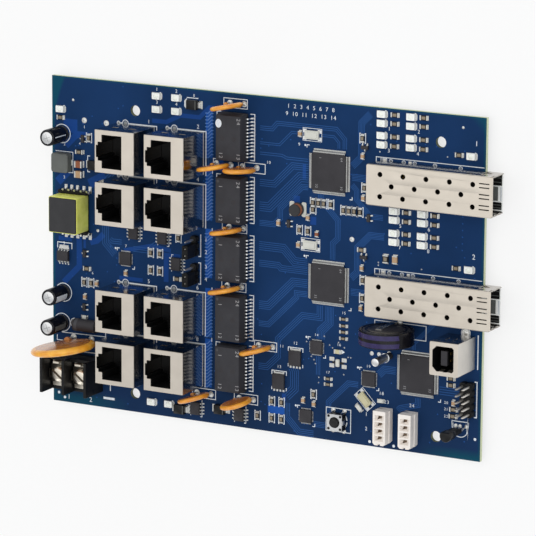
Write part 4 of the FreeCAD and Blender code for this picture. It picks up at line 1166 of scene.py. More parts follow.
def cage_covers(vent):
    """Lid with round vents and spring slits, its rolled front edge, and skirts with latch windows."""
    middle, thin = CAGE_MIDDLE, 0.2
    vents = [(x - middle, y) for x in (52.4, 61.4, 70.4, 79.5, 88.5) for y in (-4.0, 4.0)]
    vents += [(x - middle, 0.0) for x in (56.9, 65.9, 75.0, 84.0)]
    slits = [outline(4.2, 0.42, 0.18, 2) + (92.95 - middle, y + s) for y in (-3.9, 0.0, 3.9)
             for s in (-0.72, 0.72)]
    lid = plate([outline(48.9, 14.3, 0.4, 2)] + [circle(vent, 20, x, y) for x, y in vents] + slits, 9.42, 9.8)
    form = Form().add(lid, 0, CAGES)
    roll = [(94.9, 9.66), (95.6, 9.64), (95.86, 9.5), (95.86, 9.0)]
    form.add(strip(roll, 13.9, 0.22), 0, [(0, y) for y in CAGE_LINES])
    windows = [outline(2.4, 1.0) + (x, -0.3) for x in (-15, 0, 15)]
    skirt = plate([outline(48.2, 2.6, 0.3, 2)] + windows, 0, thin)
    for side in (1, -1):
        form.add(stood(skirt, (0, side * (7.42 - thin), 8.3), 90 + 90 * side), 1, CAGES)
    form.piece("cage_covers", ["cage_sheet", "cage_wall"], "cage_lid", numbered("cage_cover", 2), bevel=0.06)


def cage_sides():
    """Two long walls with slots and mouth fingers, the closed rear wall, and the floor with its cut-out."""
    sheet = 0.4
    form = Form()
    slots = [outline(2.6, 1.1, 0.2, 1) + (x, 2.2) for x in (-15, 0, 15)]
    wall = plate([outline(48.8, 9.3)] + slots, 0, sheet)
    flared = [(95.7, 0.0), (96.0, 0.02), (96.4, 0.1), (96.7, 0.24)]
    straight = [(95.7, 0.0), (95.8, 0.01), (95.9, 0.03), (96.0, 0.06)]
    for side, path in ((1, flared), (-1, straight)):
        form.add(stood(wall, (0, side * 6.8, 4.7), 90 + 90 * side), 0, CAGES)
        finger = lean(strip(path, 2.2, 0.26), "X", 90)
        places = [(0, y + side * 7.05, z) for y in CAGE_LINES for z in FINGER_LEVELS]
        form.add(mirrored(finger) if side > 0 else finger, 0, places)
    rear = lean(plate([outline(13.6, 9.3)], 0, sheet), "X", 90)
    form.add(rear, 0, [(47.02, y, 4.7) for y in CAGE_LINES], 90)
    ground = plate([outline(48.0, 13.8), outline(11.5, 12.0) + (54.5 - CAGE_MIDDLE, 0)], 0.05, sheet)
    form.add(ground, 1, CAGES)
    form.piece("cage_folded_sides", ["cage_wall", "cage_room"], "cage_sheet", numbered("cage_base", 2),
               bevel=0.06)


def cage_insides():
    """Side springs, and the stepped strips on the floor just inside the mouth."""
    form = Form()
    dark, grey, white, groove_line = 1, 2, 3, 4
    bend = [(95.7, 0), (93.6, 0.35), (91.4, 0.9), (89.6, 0.5), (89.2, 0.2)]
    spring = lean(strip([(x - CAGE_MIDDLE, out) for x, out in bend], 1.7, 0.18), "X", 90)
    for side in (1, -1):
        places = [(x, y + side * 6.7, z) for x, y in CAGES for z in FINGER_LEVELS]
        form.add(mirrored(spring) if side > 0 else spring, 0, places)
    # A black plate stands for the shade under the mouth: painted shade.
    form.add(plate([outline(7.2, 13.4)], 0.4, 0.48), dark, [(92.2, y) for y in CAGE_LINES])
    # The white bars, lip and rails are diffuse white standing in for tin that mirrors the white room: painted
    # reflection.
    for width, depth, low, high, edge, coat, x, shifts in [
        (5.4, 5.2, 0.45, 0.56, 0.03, grey, 91.3, (-0.3,)),
        (0.85, 5.4, 0.45, 0.75, 0.06, white, 94.5, (-0.3,)),
        (0.5, 5.4, 0.45, 0.52, 0.03, groove_line, 95.25, (-0.3,)),
        (0.35, 13.2, 0.1, 0.6, 0.06, white, 95.65, (0.0,)),
        (7.0, 0.4, 0.45, 1.0, 0.06, white, 92.2, (2.45, -3.05, -6.2)),
    ]:
        form.add(block(width, depth, low, high, 0.1, edge), coat,
                 [(x, y + v) for y in CAGE_LINES for v in shifts])
    ribs = [(92.2, y + v) for y in CAGE_LINES for v in (5.4, 3.8, -4.3, -5.3)]
    form.add(block(6.8, 0.22, 0.45, 0.8, 0.05, 0.04), grey, ribs)
    coats = ["cage_wall", "black_moulding", "inductor_grey", "lamp_body", "white_ink"]
    form.piece("cage_springs", coats, "cage_sheet")


class SWITCHBOARD_OT_cages(bpy.types.Operator):
    """Fibre-module cages: perforated covers with slit spring fingers, folded sides and edge connectors"""

    bl_idname = "switch_board.cages"
    bl_label = "Fibre-module cages"

    def execute(self, context):
        cage_covers(context.scene.board_sizes.vent_diameter / 2)
        cage_sides()
        dress(["cage_connectors"], "black_moulding", 0.15)
        cage_insides()
        contacts = Form()
        for z in (2.6, 5.4):
            places = [(58.0, y + v) for y in CAGE_LINES for v in row(10, 0.8)]
            contacts.add(block(3.0, 0.3, z, z + 0.25, edge=0.05), 0, places)
        contacts.piece("cage_contacts", ["gold"], "contact_gold")
        return {"FINISHED"}


class SWITCHBOARD_OT_modules(bpy.types.Operator):
    """Isolation modules: drafted cases with a parting line, pin marks and gull-wing leads"""

    bl_idname = "switch_board.modules"
    bl_label = "Isolation modules"

    def execute(self, context):
        case = Form()
        levels = [(0.45, 0.25), (0.6, 0.1), (2.15, 0.0), (2.2, -0.06), (2.5, -0.06), (2.55, 0.0),
                  (5.75, 0.42), (5.95, 0.55), (6.0, 0.7)]
        case.add(drawn_in(11, 17.6, levels, 0.35), 0, MODULES)
        mark = turned([(0.55, 5.6), (0.55, 6.004), (0.05, 6.008)], 16)
        case.add(mark, 1, [(x - 4.1, y + 7.1) for x, y in MODULES[1:]])
        x, y = MODULES[0]
        oval = np.column_stack([circle(1.25, 28)[:, 0], circle(1.6, 28)[:, 1]])
        case.add(spot(oval, 6.012), 3, [(x - 3.9, y + 5.2)])
        gate = turned([(1.0, 5.7), (1.0, 6.006), (0.05, 6.009)], 20)
        case.add(gate, 2, [(x, y - 0.2) for x, y in flanks(MODULES, 2.4)])
        coats = ["module_epoxy", "mark_grey", "chip_epoxy", "white_ink"]
        case.piece("module_cases", coats, "module_epoxy", numbered("isolation_module", 5))
        path = [(5.2, 2.33), (5.9, 2.33), (6.2, 2.15), (6.4, 1.2), (6.6, 0.42), (6.85, 0.2), (7.75, 0.2)]
        leads = Form()
        pins = row(12, LEAD_PITCH)
        for turn, reach in ((0, 7.15), (180, -7.15)):
            leads.add(strip(path, 0.48, 0.25), 0, ranks(MODULES, pins), turn)
            leads.add(block(1.6, 0.7, 0.0, 0.06, edge=0.02), 0, ranks(MODULES, pins, reach))
        leads.piece("module_gull_leads", ["aluminium"], "lead_tin", ["module_leads"])
        return {"FINISHED"}


def lead_fringe(half, count, pitch, reach=1.35, width=0.26, rise=0.75, pad=1.7):
    """One side's fine leads of a flat chip: bent strips and their pads at even pitch along +X's side."""
    path = [(half - 0.1, rise), (half + 0.35, rise), (half + 0.6, rise * 0.55), (half + 0.75, 0.2),
            (half + reach, 0.14)]
    places = np.column_stack([np.zeros(count), row(count, pitch)])
    foot = block(pad, width * 1.25, 0.0, 0.05, edge=0.015)
    return joined(copies(strip(path, width, 0.13), places), copies(foot, places + (half + reach - 0.35, 0)))


def small_case(form, x, y, width, depth, height, low=0.1):
    """Small case that widens to its parting line and draws in above it, with a dot at its first corner."""
    levels = [(low, 0.14), (height * 0.5, 0.0), (height * 0.58, 0.0), (height - 0.06, 0.12), (height, 0.2)]
    form.add(drawn_in(width, depth, levels, 0.12, 1), 0, [(x, y)])
    dot = turned([(0.22, height - 0.05), (0.22, height + 0.006), (0.03, height + 0.008)], 10)
    form.add(dot, 2, [(x - width / 2 + 0.6, y + depth / 2 - 0.6)])


def no_lead_chips(form):
    """Square chips whose leads are short pads along all four sides."""
    for x, y, span, count, _ in NO_LEAD_CHIPS:
        small_case(form, x, y, span, span, 0.95, 0.02)
        for turn in (0, 90, 180, 270):
            places = np.column_stack([np.full(count, span / 2 + 0.12), row(count, 0.5)])
            form.add(copies(block(0.7, 0.26, 0.0, 0.22, edge=0.04), places), 1, [(x, y)], turn)


def power_chips(form):
    """Chips with four pads in front, and one wide tab with two ears behind."""
    for x, y in POWER_CHIPS:
        small_case(form, x, y, 5.0, 5.8, 1.1, 0.05)
        form.add(block(0.75, 1.3, 0.0, 0.25, edge=0.05), 1, [(x + v, y - 3.15) for v in row(4, LEAD_PITCH)])
        form.add(block(4.3, 0.9, 0.0, 0.28, edge=0.05), 1, [(x, y + 3.1)])
        form.add(block(0.55, 0.7, 0.0, 0.3, edge=0.05), 1, [(x + v, y + 3.6) for v in (-1.9, 1.9)])


def leaded_chips(form):
    """Eight-lead and three-lead chips, turned about their middles."""
    for x, y, turn in [(*CROSSWISE_CHIP, 90)] + [(x, y, 0) for x, y in EIGHT_LEAD_CHIPS]:
        small_case(form, x, y, *((4.9, 3.9) if turn else (3.9, 4.9)), 1.6)
        for side in (0, 180):
            form.add(lead_fringe(1.95, 4, LEAD_PITCH, 1.1, 0.42, 0.85, 1.3), 1, [(x, y)], turn + side)
    form.add(block(3.9, 1.7, 0.0, 0.12, edge=0.03), 1, [(-84.0, -2.6)])
    for x, y, turn in THREE_LEAD_CHIPS:
        small_case(form, x, y, *((2.9, 1.4) if turn else (1.4, 2.9)), 1.05)
        for count, side in ((2, 0), (1, 180)):
            form.add(lead_fringe(0.7, count, 1.9, 0.75, 0.42, 0.5, 0.9), 1, [(x, y)], turn + side)


def block_diodes(form):
    """Moulded diodes between two metal ends, each with a grey stripe."""
    levels = [(0.15, 0.14), (1.1, 0.0), (1.25, 0.0), (2.14, 0.12), (2.2, 0.2)]
    for x, y in BLOCK_DIODES:
        form.add(drawn_in(4.4, 3.6, levels, 0.12, 1), 4, [(x, y)])
        form.add(block(1.1, 2.1, 0.02, 1.1, edge=0.12, foot=False), 1, flanks([(x, y)], 2.35))
        form.add(block(0.35, 3.2, 2.0, 2.208, edge=0.05), 3, [(x + 1.7, y)])
        form.add(block(1.5, 2.9, 0.0, 0.1, edge=0.03), 1, flanks([(x, y)], 2.95))


class SWITCHBOARD_OT_chips(bpy.types.Operator):
    """Quad flat chips and small chips with their leads"""

    bl_idname = "switch_board.chips"
    bl_label = "Chips"

    def execute(self, context):
        large = Form()
        levels = [(0.12, 0.3), (0.62, 0.03), (0.66, 0.0), (0.78, 0.0), (0.82, 0.03), (1.2, 0.2), (1.26, 0.3)]
        large.add(drawn_in(14, 14, levels, 0.75, 1), 0, QUADS)
        mark = turned([(0.6, 1.2), (0.6, 1.264), (0.05, 1.268)], 18)
        large.add(mark, 2, [(x - 5.3, y + 5.3) for x, y in QUADS])
        for turn in (0, 90, 180, 270):
            large.add(lead_fringe(7.0, 32, 0.4, 1.05, pad=1.0), 1, QUADS, turn)
        large.piece("quad_chip_cases", ["chip_epoxy", "solder", "module_epoxy"], "chip_epoxy", ["quad_chips"])
        small = Form()
        no_lead_chips(small)
        power_chips(small)
        leaded_chips(small)
        block_diodes(small)
        coats = ["chip_epoxy", "solder", "module_epoxy", "inductor_grey", "terminal_black"]
        small.piece("small_chip_cases", coats, "chip_epoxy", ["small_chips"])
        return {"FINISHED"}


def two_ended(width, depth, height, end):
    """Chip part between two metal ends: body block, and end caps that wrap it by a hair."""
    body = block(width - 2 * end, depth, 0.08, height, edge=0.06, foot=False)
    cap = block(end, depth + 0.06, 0.02, height + 0.03, edge=0.08, foot=False)
    return body, copies(cap, flanks([(0, 0)], (width - end) / 2))


def resistors_and_capacitors():
    """Two-ended bodies on pads, the resistors with a paler film on top; sizes: width, depth, height, end."""
    form = Form()
    coats = ["solder", "resistor_black", "chip_tan", "chip_brown", "ceramic_white", "resistor_top",
             "crystal_lid"]
    black, tan, brown, white, film, lid = range(1, 7)
    for places, turn, size, coat in [
        (FLAT_CHIPS, 0.0, (3.0, 1.7, 0.55, 0.45), black),
        (SLIM_CHIPS, 0.0, (3.0, 1.2, 0.5, 0.55), black),
        (FLAT_WHITE, 0.0, (2.4, 1.4, 0.7, 0.4), white),
        ([(31.6, -28.7)], 0.0, (2.8, 1.5, 0.7, 0.65), lid),
        (UPRIGHT_CHIPS, 90.0, (2.6, 1.5, 0.55, 0.4), black),
        ([(50.5, 7.7)], 90.0, (3.0, 2.1, 0.95, 0.5), black),
        ([(54.2, 7.8)], 90.0, (3.0, 1.9, 0.95, 0.5), tan),
        (UPRIGHT_TAN, 90.0, (2.0, 1.25, 0.95, 0.42), tan),
        ([(22.7, 13.8)], 90.0, (2.0, 1.25, 0.95, 0.42), brown),
        ([(40.6, -48.4)], -46.0, (3.0, 1.5, 0.9, 0.5), white),
        ([(-77.0, 29.8)], 0.0, (3.2, 2.5, 1.6, 0.6), brown),
        ([(-77.0, 26.0)], 0.0, (3.2, 2.5, 1.6, 0.6), tan),
        ([(-76.9, 34.4)], 0.0, (3.2, 1.6, 1.0, 0.55), black),
    ]:
        width, depth, height, end = size
        body, ends = two_ended(*size)
        form.add(body, coat, places, turn).add(ends, 0, places, turn)
        if coat == black:
            top = block((width - 2 * end) * 0.7, depth * 0.62, height - 0.05, height + 0.02, edge=0.01)
            form.add(top, film, places, turn)
        pad = block(0.6, depth * 0.98, 0.0, 0.06, edge=0.02)
        form.add(copies(pad, flanks([(0, 0)], width / 2)), 0, places, turn)
    switch = [(31.7, -32.9)]
    form.add(block(2.0, 1.5, 0.0, 0.12, 0.1, 0.04), 0, grid((29.2, 34.2), (-31.7, -34.1)))
    form.add(block(4.6, 0.8, 0.02, 0.1, edge=0.02), black, switch)
    form.add(block(1.5, 2.8, 0.05, 0.8, 0.3, 0.08, 0.05), white, switch)
    form.piece("chip_part_bodies", coats, "chip_ceramic", ["chip_parts"])


def status_lamps():
    """White trays with a round well and a domed lens, between two metal ends on their pads."""
    form = Form()
    form.add(plate([outline(3.1, 2.4, 0.2, 2), circle(0.95, 20)], 0.1, 1.05), 0, LAMPS)
    form.add(block(2.4, 2.2, 0.1, 0.55, edge=0.05), 0, LAMPS)
    form.add(turned([(0.93, 0.5), (0.93, 1.0), (0.8, 1.12), (0.45, 1.19), (0.04, 1.2)], 20), 1, LAMPS)
    form.add(block(0.35, 2.2, 0.0, 0.75, edge=0.06), 2, flanks(LAMPS, 1.65))
    form.add(block(0.5, 2.4, 0.0, 0.06, edge=0.02), 2, flanks(LAMPS, 1.85))
    form.piece("lamp_bodies", ["lamp_body", "lamp_lens", "solder"], "lamp_white", ["status_lamps"])


class SWITCHBOARD_OT_chip_parts(bpy.types.Operator):
    """Chip resistors, chip capacitors and status lamps, each a body between two metal ends"""

    bl_idname = "switch_board.chip_parts"
    bl_label = "Chip parts and lamps"

    def execute(self, context):
        resistors_and_capacitors()
        status_lamps()
        return {"FINISHED"}


class SWITCHBOARD_OT_usb(bpy.types.Operator):
    """Upright USB jack: folded shell with a keyed mouth, tongue and contacts"""

    bl_idname = "switch_board.usb"
    bl_label = "USB jack"

    def execute(self, context):
        x, y = USB
        sheet = 0.38
        mouth = [(-2.8, -4.6), (3.2, -4.6), (3.9, -3.9), (3.9, 3.9), (3.2, 4.6), (-2.8, 4.6), (-4.4, 3.0),
                 (-4.4, -3.0)]
        form = Form().add(plate([outline(11.0, 12.1, 0.45, 2), mouth], 14.1, 14.5), 0, [USB])
        end_wall = plate([outline(11.9, 14.2)], 0, sheet)
        slits = [outline(0.35, 4.0, 0.1, 1) + (u, 1.5) for u in (1.5, -1.5)]
        slit_wall = plate([outline(10.8, 14.2)] + slits, 0, sheet)
        for side in (1, -1):
            form.add(stood(end_wall, (side * 5.12, 0, 7.1), 90 * side), 2, [USB])
            form.add(stood(slit_wall, (0, side * 5.67, 7.1), 90 + 90 * side), 1, [USB])
        tooth = strip([(0, 14.3), (0.1, 13.2), (0.5, 12.0), (0.3, 11.2)], 1.6, 0.25)
        form.add(tooth, 0, [(x + 3.95, y + v) for v in (-2.4, 2.4)], 180)
        form.add(tooth, 0, [(x + v, y + 4.65) for v in (-1.2, 1.9)], -90)
        form.add(tooth, 0, [(x + v, y - 4.65) for v in (-1.2, 1.9)], 90)
        form.piece("usb_folded_shell", ["jack_tin", "jack_wall", "usb_side"], "usb_sheet", ["usb_shell"],
                   bevel=0.08)
        dress(["usb_insert"], "black_moulding", 0.12)
        pins = Form()
        for side in (-1, 1):
            places = [(x - 0.5 + side * 1.24, y + v) for v in (-1.25, 1.25)]
            pins.add(block(0.14, 1.0, 5.0, 10.2, edge=0.04), 0, places)
        pins.piece("usb_contacts", ["gold"], "contact_gold")
        # The tongue's tip is capped in grey paler than its black insert: painted light on the tip.
        tip = Form().add(block(2.5, 5.3, 12.0, 13.04, 0.15, 0.12), 0, [(x - 0.5, y)])
        tip.piece("usb_tongue_tip", ["chip_epoxy"], "black_moulding")
        return {"FINISHED"}


def terminal_screw(k, place):
    """Round shank with a helix of thread, and a head of two half domes with the slot between them."""
    slot_turn, slot_half = -38, 0.45
    turns, pitch = 6, 0.6
    form = Form()
    shank = [(1.6, 1.6), (1.6, 6.65), (2.9, 6.7), (3.0, 6.85), (3.0, 7.65), (2.9, 7.7)]
    form.add(turned(shank, 32), 0, [place])
    angle = np.radians(np.linspace(0, 180, 19))
    moon = np.column_stack([np.cos(angle), np.sin(angle)])
    dome = [(7.6, 2.98), (7.95, 2.9), (8.3, 2.66), (8.55, 2.3), (8.7, 1.75)]
    rings = [raised(np.maximum(moon * radius, (-radius, slot_half)), z) for z, radius in dome]
    form.add(loft(rings), 0, [place] * 2, (slot_turn, slot_turn + 180))
    # The slot's floor is a dark steel block: painted shade in the slot.
    form.add(block(5.7, 0.88, 7.6, 7.74, edge=0.02), 1, [place], slot_turn)
    thread = np.linspace(0, 2 * np.pi * turns, 145)
    helix = np.column_stack([1.62 * np.cos(thread), 1.62 * np.sin(thread), 1.9 + thread * pitch / (2 * np.pi)])
    form.add(wire(helix, 0.14, 5, (0, 0, 1)), 0, [place])
    form.piece(f"terminal_screw_head_{k}", ["screw_tin", "clamp_steel"], "screw_steel",
               [f"terminal_screw_{k}"], body=f"screw_{k}")


class SWITCHBOARD_OT_terminal(bpy.types.Operator):
    """Two-pole wire terminal: moulded block, plates, clamps and slotted screws, each on its own body"""

    bl_idname = "switch_board.terminal"
    bl_label = "Wire terminal"

    def execute(self, context):
        dress(["terminal_block"], "terminal_black", 0.25)
        dress(["terminal_contacts"], "screw_tin", 0.12)
        dress(numbered("terminal_clamp", 2), "clamp_steel", 0.15)
        for k, place in enumerate(POLES, 1):
            terminal_screw(k, place)
        return {"FINISHED"}


def kinked_leg(height, out=0.35, foot=-1.0):
    """Leg of a dipped disc: straight down, kinked outwards a little, then straight into the board."""
    shares = [(0, 1.0), (0, 0.55), (out, 0.42), (out, 0.3), (0, 0.18)]
    return [(0, aside, height * share) for aside, share in shares] + [(0, 0, foot)]


def dipped_disc(form, place, radius, thick, turn, tilt):
    """Lens on edge: a rim of half an ellipse and two crowned faces, turned about Z and leant back."""
    angle = np.radians(np.linspace(-90, 90, 13))
    bulge = radius - thick * 0.6 + thick * 0.6 * np.cos(angle)
    rim = np.column_stack([bulge, thick / 2 * 0.9 * np.sin(angle)])
    step = np.linspace(0.0, 1.0, 6)
    crown = np.column_stack([rim[-1, 0] * (1.004 - step),
                             rim[-1, 1] + thick * 0.05 * np.sin(step * np.pi / 2)])
    # The rim takes the disc's coat and both faces its darker copy: painted shade on the faces.
    for profile, coat in ((rim, 0), (crown, 1), ((crown * (1, -1))[::-1], 1)):
        form.add(lean(lean(turned(profile, 56), "X", 90 + tilt), "Z", turn), coat, [place])


def dipped_legs(form, places, height, radius, root, coat):
    """Kinked legs, and the coat that runs down their roots."""
    skirt = [(radius + 0.04, height * 0.42), (root * 0.55, height * 0.55), (root, height * 0.78),
             (root, height), (0.2, height * 1.03)]
    for place in places:
        form.add(wire(kinked_leg(height), radius, 8, (1, 0, 0)), 2, [place])
        form.add(turned(skirt, 12), coat, [place])


class SWITCHBOARD_OT_discs(bpy.types.Operator):
    """Dipped discs: resettable fuses and the varistor, lens-shaped with coated leg roots and kinked legs"""

    bl_idname = "switch_board.discs"
    bl_label = "Fuses and varistor"

    def execute(self, context):
        fuses = Form()
        for (x, y), turn, tilt in zip(FUSES, FUSE_TURNS, FUSE_LEANS):
            dipped_disc(fuses, (x, y, 8.0), 6.1, 1.9, turn, tilt)
            dipped_legs(fuses, flanks([(x, y)], 2.8), 4.0, 0.3, 0.75, 0)
        fuses.piece("fuse_lenses", ["fuse_coat", "fuse_coat_shaded", "solder"], "fuse_coat", ["fuse_discs"])
        varistor = Form()
        x, y = VARISTOR
        dipped_disc(varistor, (x, y, 14.0), 12.2, 3.0, 9.0, 0.0)
        # The varistor's leg roots take the darker copy of its coat: painted shade.
        dipped_legs(varistor, flanks([(x, y + 0.6)], VARISTOR_SPREAD), 5.0, 0.6, 1.3, 1)
        varistor.piece("varistor_lens", ["varistor_coat", "varistor_coat_shaded", "solder"], "varistor_coat",
                       ["varistor"])
        return {"FINISHED"}


def can_capacitors():
    """Sleeved cans with a rolled neck, a bare top with a crossed score, and a pale stripe down one side."""
    form = Form()
    sleeve = [(2.6, 0.0), (3.0, 0.15), (3.12, 0.5), (3.12, 1.2), (2.86, 1.5), (2.86, 1.75), (3.13, 2.1),
              (3.13, 10.4), (3.0, 10.8), (2.8, 10.93), (2.25, 10.95), (2.2, 10.8)]
    form.add(turned(sleeve, 40), 0, CANS)
    form.add(turned([(2.22, 10.5), (2.22, 10.93), (2.12, 10.97), (0.05, 10.97)], 40), 1, CANS)
    score = block(3.0, 0.1, 10.9, 10.985, edge=0.005)
    form.add(score, 2, np.repeat(CANS, 2, axis=0), np.tile([20.0, 110.0], len(CANS)))
    # Each stripe is partly the sleeve's print and partly a painted highlight.
    for place, low, high, coat in zip(CANS, (0, -40, -26), (7, 6, 10), (3, 3, 2)):
        arc = np.radians(np.linspace(low, high, 9))
        flag = np.stack([np.cos(arc), np.sin(arc)], 1)
        form.add(plate([np.concatenate([flag * 3.14, flag[::-1] * 3.05])], 2.6, 10.0), coat, [place])
    coats = ["can_sleeve", "aluminium", "inductor_grey", "white_ink"]
    form.piece("can_capacitors", coats, "can_sleeve", ["capacitor_cans"])


def coin_capacitor():
    """Sleeved coin cell on edge: a turned rim, a stepped face on each side, and two flat legs."""
    form = Form()
    x, y = COIN
    z = 11.0
    half = [(10.0, 2.2), (9.95, 2.5), (9.6, 2.75), (8.5, 2.72), (8.4, 2.62)]
    profile = [(radius, -reach) for radius, reach in half[::-1]] + half
    form.add(lean(turned(profile, 64), "X", 90), 0, [(x, y, z)])
    face = turned([(8.6, -0.1), (8.6, 0.02), (8.3, 0.1), (7.9, 0.1), (7.6, -0.02), (6.9, -0.02), (6.6, 0.12),
                   (6.0, 0.16), (0.05, 0.16)], 48)
    leg = strip([(0, 13.5), (0, 2.2), (0.0, 1.2), (-0.4, 0.4), (-0.4, -1.0)], 2.4, 0.2)
    for side in (1, -1):
        form.add(lean(face, "X", -90 * side), 1, [(x, y + side * 2.58, z)])
    for side in (1, -1):
        form.add(leg, 2, [(x - side * 2.0, y + side * 2.85)], 90 * side)
    form.piece("coin_capacitor", ["coin_sleeve", "coin_face", "bright_steel"], "coin_sleeve",
               ["backup_capacitor"])


def transformer():
    """Pinned base with two rails, a ferrite block, and a tape wrapped round it with a lapped end."""
    x, y = TRANSFORMER
    form = Form()
    form.add(plate([outline(12.0, 16.4, 0.4, 2)], 0.02, 0.58), 0, [TRANSFORMER])
    form.add(block(12.4, 1.3, 0.1, 2.4, 0.2, 0.15), 0, ranks([TRANSFORMER], (-7.55, 7.55)))
    path = [(0.3, 1.0), (1.0, 1.0), (1.3, 0.75), (1.45, 0.3), (2.0, 0.16), (2.6, 0.16)]
    for side in (1, -1):
        form.add(strip(path, 0.8, 0.35), 1, [(pin, y + side * 7.0) for pin in TRANSFORMER_PINS], 90 * side)
        end = wire([(0, 0, 1.2), (0, side * 0.7, 1.6), (0, side * 0.5, 2.6)], 0.42, 8, (1, 0, 0))
        form.add(end, 1, [(pin, y + side * 7.9) for pin in TRANSFORMER_PINS])
    form.piece("transformer_bobbin", ["black_moulding", "solder"], "black_moulding", ["transformer_base"])
    core = Form().add(block(11.6, 13.0, 0.62, 9.5, 0.35, 0.22), 0, [TRANSFORMER])
    core.piece("transformer_ferrite", ["ferrite"], "ferrite", ["transformer_core"])
    levels = [(0.78, 0.03), (0.88, 0.0), (8.85, 0.0), (8.95, 0.03)]
    outer = [raised(outline(12.2 - 2 * i, 13.6 - 2 * i, 0.6, 4), z) for z, i in levels]
    inner = [raised(outline(11.7, 13.1, 0.4, 4), z) for z in (8.95, 0.78)]
    wrap = Form().add(loft(outer + inner + outer[:1]), 0, [TRANSFORMER])
    wrap.add(block(0.12, 6.0, 0.9, 8.8, edge=0.03), 0, [(x + 6.1, y - 2.0)])
    wrap.piece("transformer_wrap", ["yellow_tape"], "yellow_tape", ["transformer_tape"])


def inductors():
    """Shielded coil: a square cup with a round lid; drum coil: a ferrite spool with ribbed copper."""
    form = Form()
    form.add(block(7.3, 7.3, 0.25, 3.5, 1.0, 0.25, 0.05, 3), 0, [SHIELDED_COIL])
    lid = [(2.6, 3.4), (2.6, 3.508), (2.45, 3.508), (2.4, 3.47), (0.05, 3.47)]
    form.add(turned(lid, 32), 0, [SHIELDED_COIL])
    form.add(block(7.5, 2.2, 0.0, 0.9, 0.15, 0.1), 1, [SHIELDED_COIL])
    drum = [(2.3, 0.3), (2.5, 0.4), (2.5, 0.9), (1.75, 1.2), (1.75, 2.5), (2.2, 2.7), (2.25, 3.2), (2.1, 3.4),
            (0.05, 3.45)]
    copper = [(2.1, 1.15), (2.25, 1.3), (2.1, 1.45), (2.25, 1.6), (2.1, 1.75), (2.25, 1.9), (2.1, 2.05),
              (2.25, 2.2), (2.1, 2.4)]
    form.add(turned(drum, 32), 2, [DRUM_COIL]).add(turned(copper, 28), 3, [DRUM_COIL])
    form.add(block(1.9, 5.4, 0.0, 0.35, 0.5, 0.08), 1, [(12.4, DRUM_COIL[1]), (17.3, DRUM_COIL[1])])
    coats = ["inductor_grey", "ceramic_white", "ferrite", "chip_brown"]
    form.piece("inductor_bodies", coats, "ferrite", ["inductors"])


def clamp_diode():
    """Round body lying along X with a pale band, and two wire legs bent down into the board."""
    form = Form()
    rise = 2.6
    body = [(0.5, -4.75), (2.2, -4.75), (2.4, -4.55), (2.4, 4.55), (2.2, 4.75), (0.5, 4.75)]
    band = [(2.38, -3.9), (2.42, -3.88), (2.42, -2.7), (2.38, -2.68)]
    for profile, coat in ((body, 0), (band, 2)):
        form.add(lean(turned(profile, 28), "Y", 90), coat, [(*DIODE, rise)])
    for side in (-1, 1):
        path = [(4.6, rise), (5.4, rise), (5.9, 2.35), (6.05, 1.8), (6.05, -1.0)]
        form.add(wire([(side * reach, 0, z) for reach, z in path], 0.5, 10), 1, [DIODE])
    form.piece("diode_body", ["chip_epoxy", "solder", "mark_grey"], "chip_epoxy", ["clamp_diode"])


class SWITCHBOARD_OT_power_parts(bpy.types.Operator):
    """Can capacitors, coin capacitor, transformer, inductors and clamp diode"""

    bl_idname = "switch_board.power_parts"
    bl_label = "Power parts"

    def execute(self, context):
        can_capacitors()
        coin_capacitor()
        transformer()
        inductors()
        clamp_diode()
        return {"FINISHED"}


def wire_headers():
    """White bodies with four funnel mouths each, a keyed front, and a contact in every pocket."""
    form = Form()
    rim = [(-2.5, -5.6), (-1.75, -6.35), (-0.5, -6.35), (-0.5, -5.75), (0.5, -5.75), (0.5, -6.35),
           (1.75, -6.35), (2.5, -5.6), (2.5, 6.35), (-2.5, 6.35)]
    cells = row(4, PIN_PITCH)
    mouth = np.array([(-1.8, -1.0), (1.9, -1.0), (1.9, 1.0), (-1.8, 1.0)])
    throat = np.array([(-1.35, -0.8), (0.3, -0.3), (0.4, 0.5), (-0.9, 0.5)])
    mouths, throats = ([rim] + [hole + (0, v) for v in cells] for hole in (mouth, throat))
    form.add(plate(mouths, 4.3, 6.0, throats), 0, WIRE_HEADERS)
    form.add(plate([rim], 0.0, 2.2), 0, WIRE_HEADERS)
    form.add(plate([rim, outline(3.6, 10.6)], 2.2, 4.3), 0, WIRE_HEADERS)
    # A tan block under the pockets shows through each throat: painted shade in the pockets.
    form.add(block(3.6, 10.6, 2.1, 3.3, edge=0.05), 2, WIRE_HEADERS)
    form.add(block(0.35, 12.0, 2.0, 3.0, edge=0.08), 0, [(x + 2.55, y + 0.2) for x, y in WIRE_HEADERS])
    form.add(block(0.35, 0.8, 3.2, 4.2, edge=0.05), 1, ranks(WIRE_HEADERS, cells, 1.05))
    coats = ["white_moulding", "solder", "pocket_shade_tan"]
    form.piece("wire_header_bodies", coats, "white_moulding", ["wire_headers"], bevel=0.1)


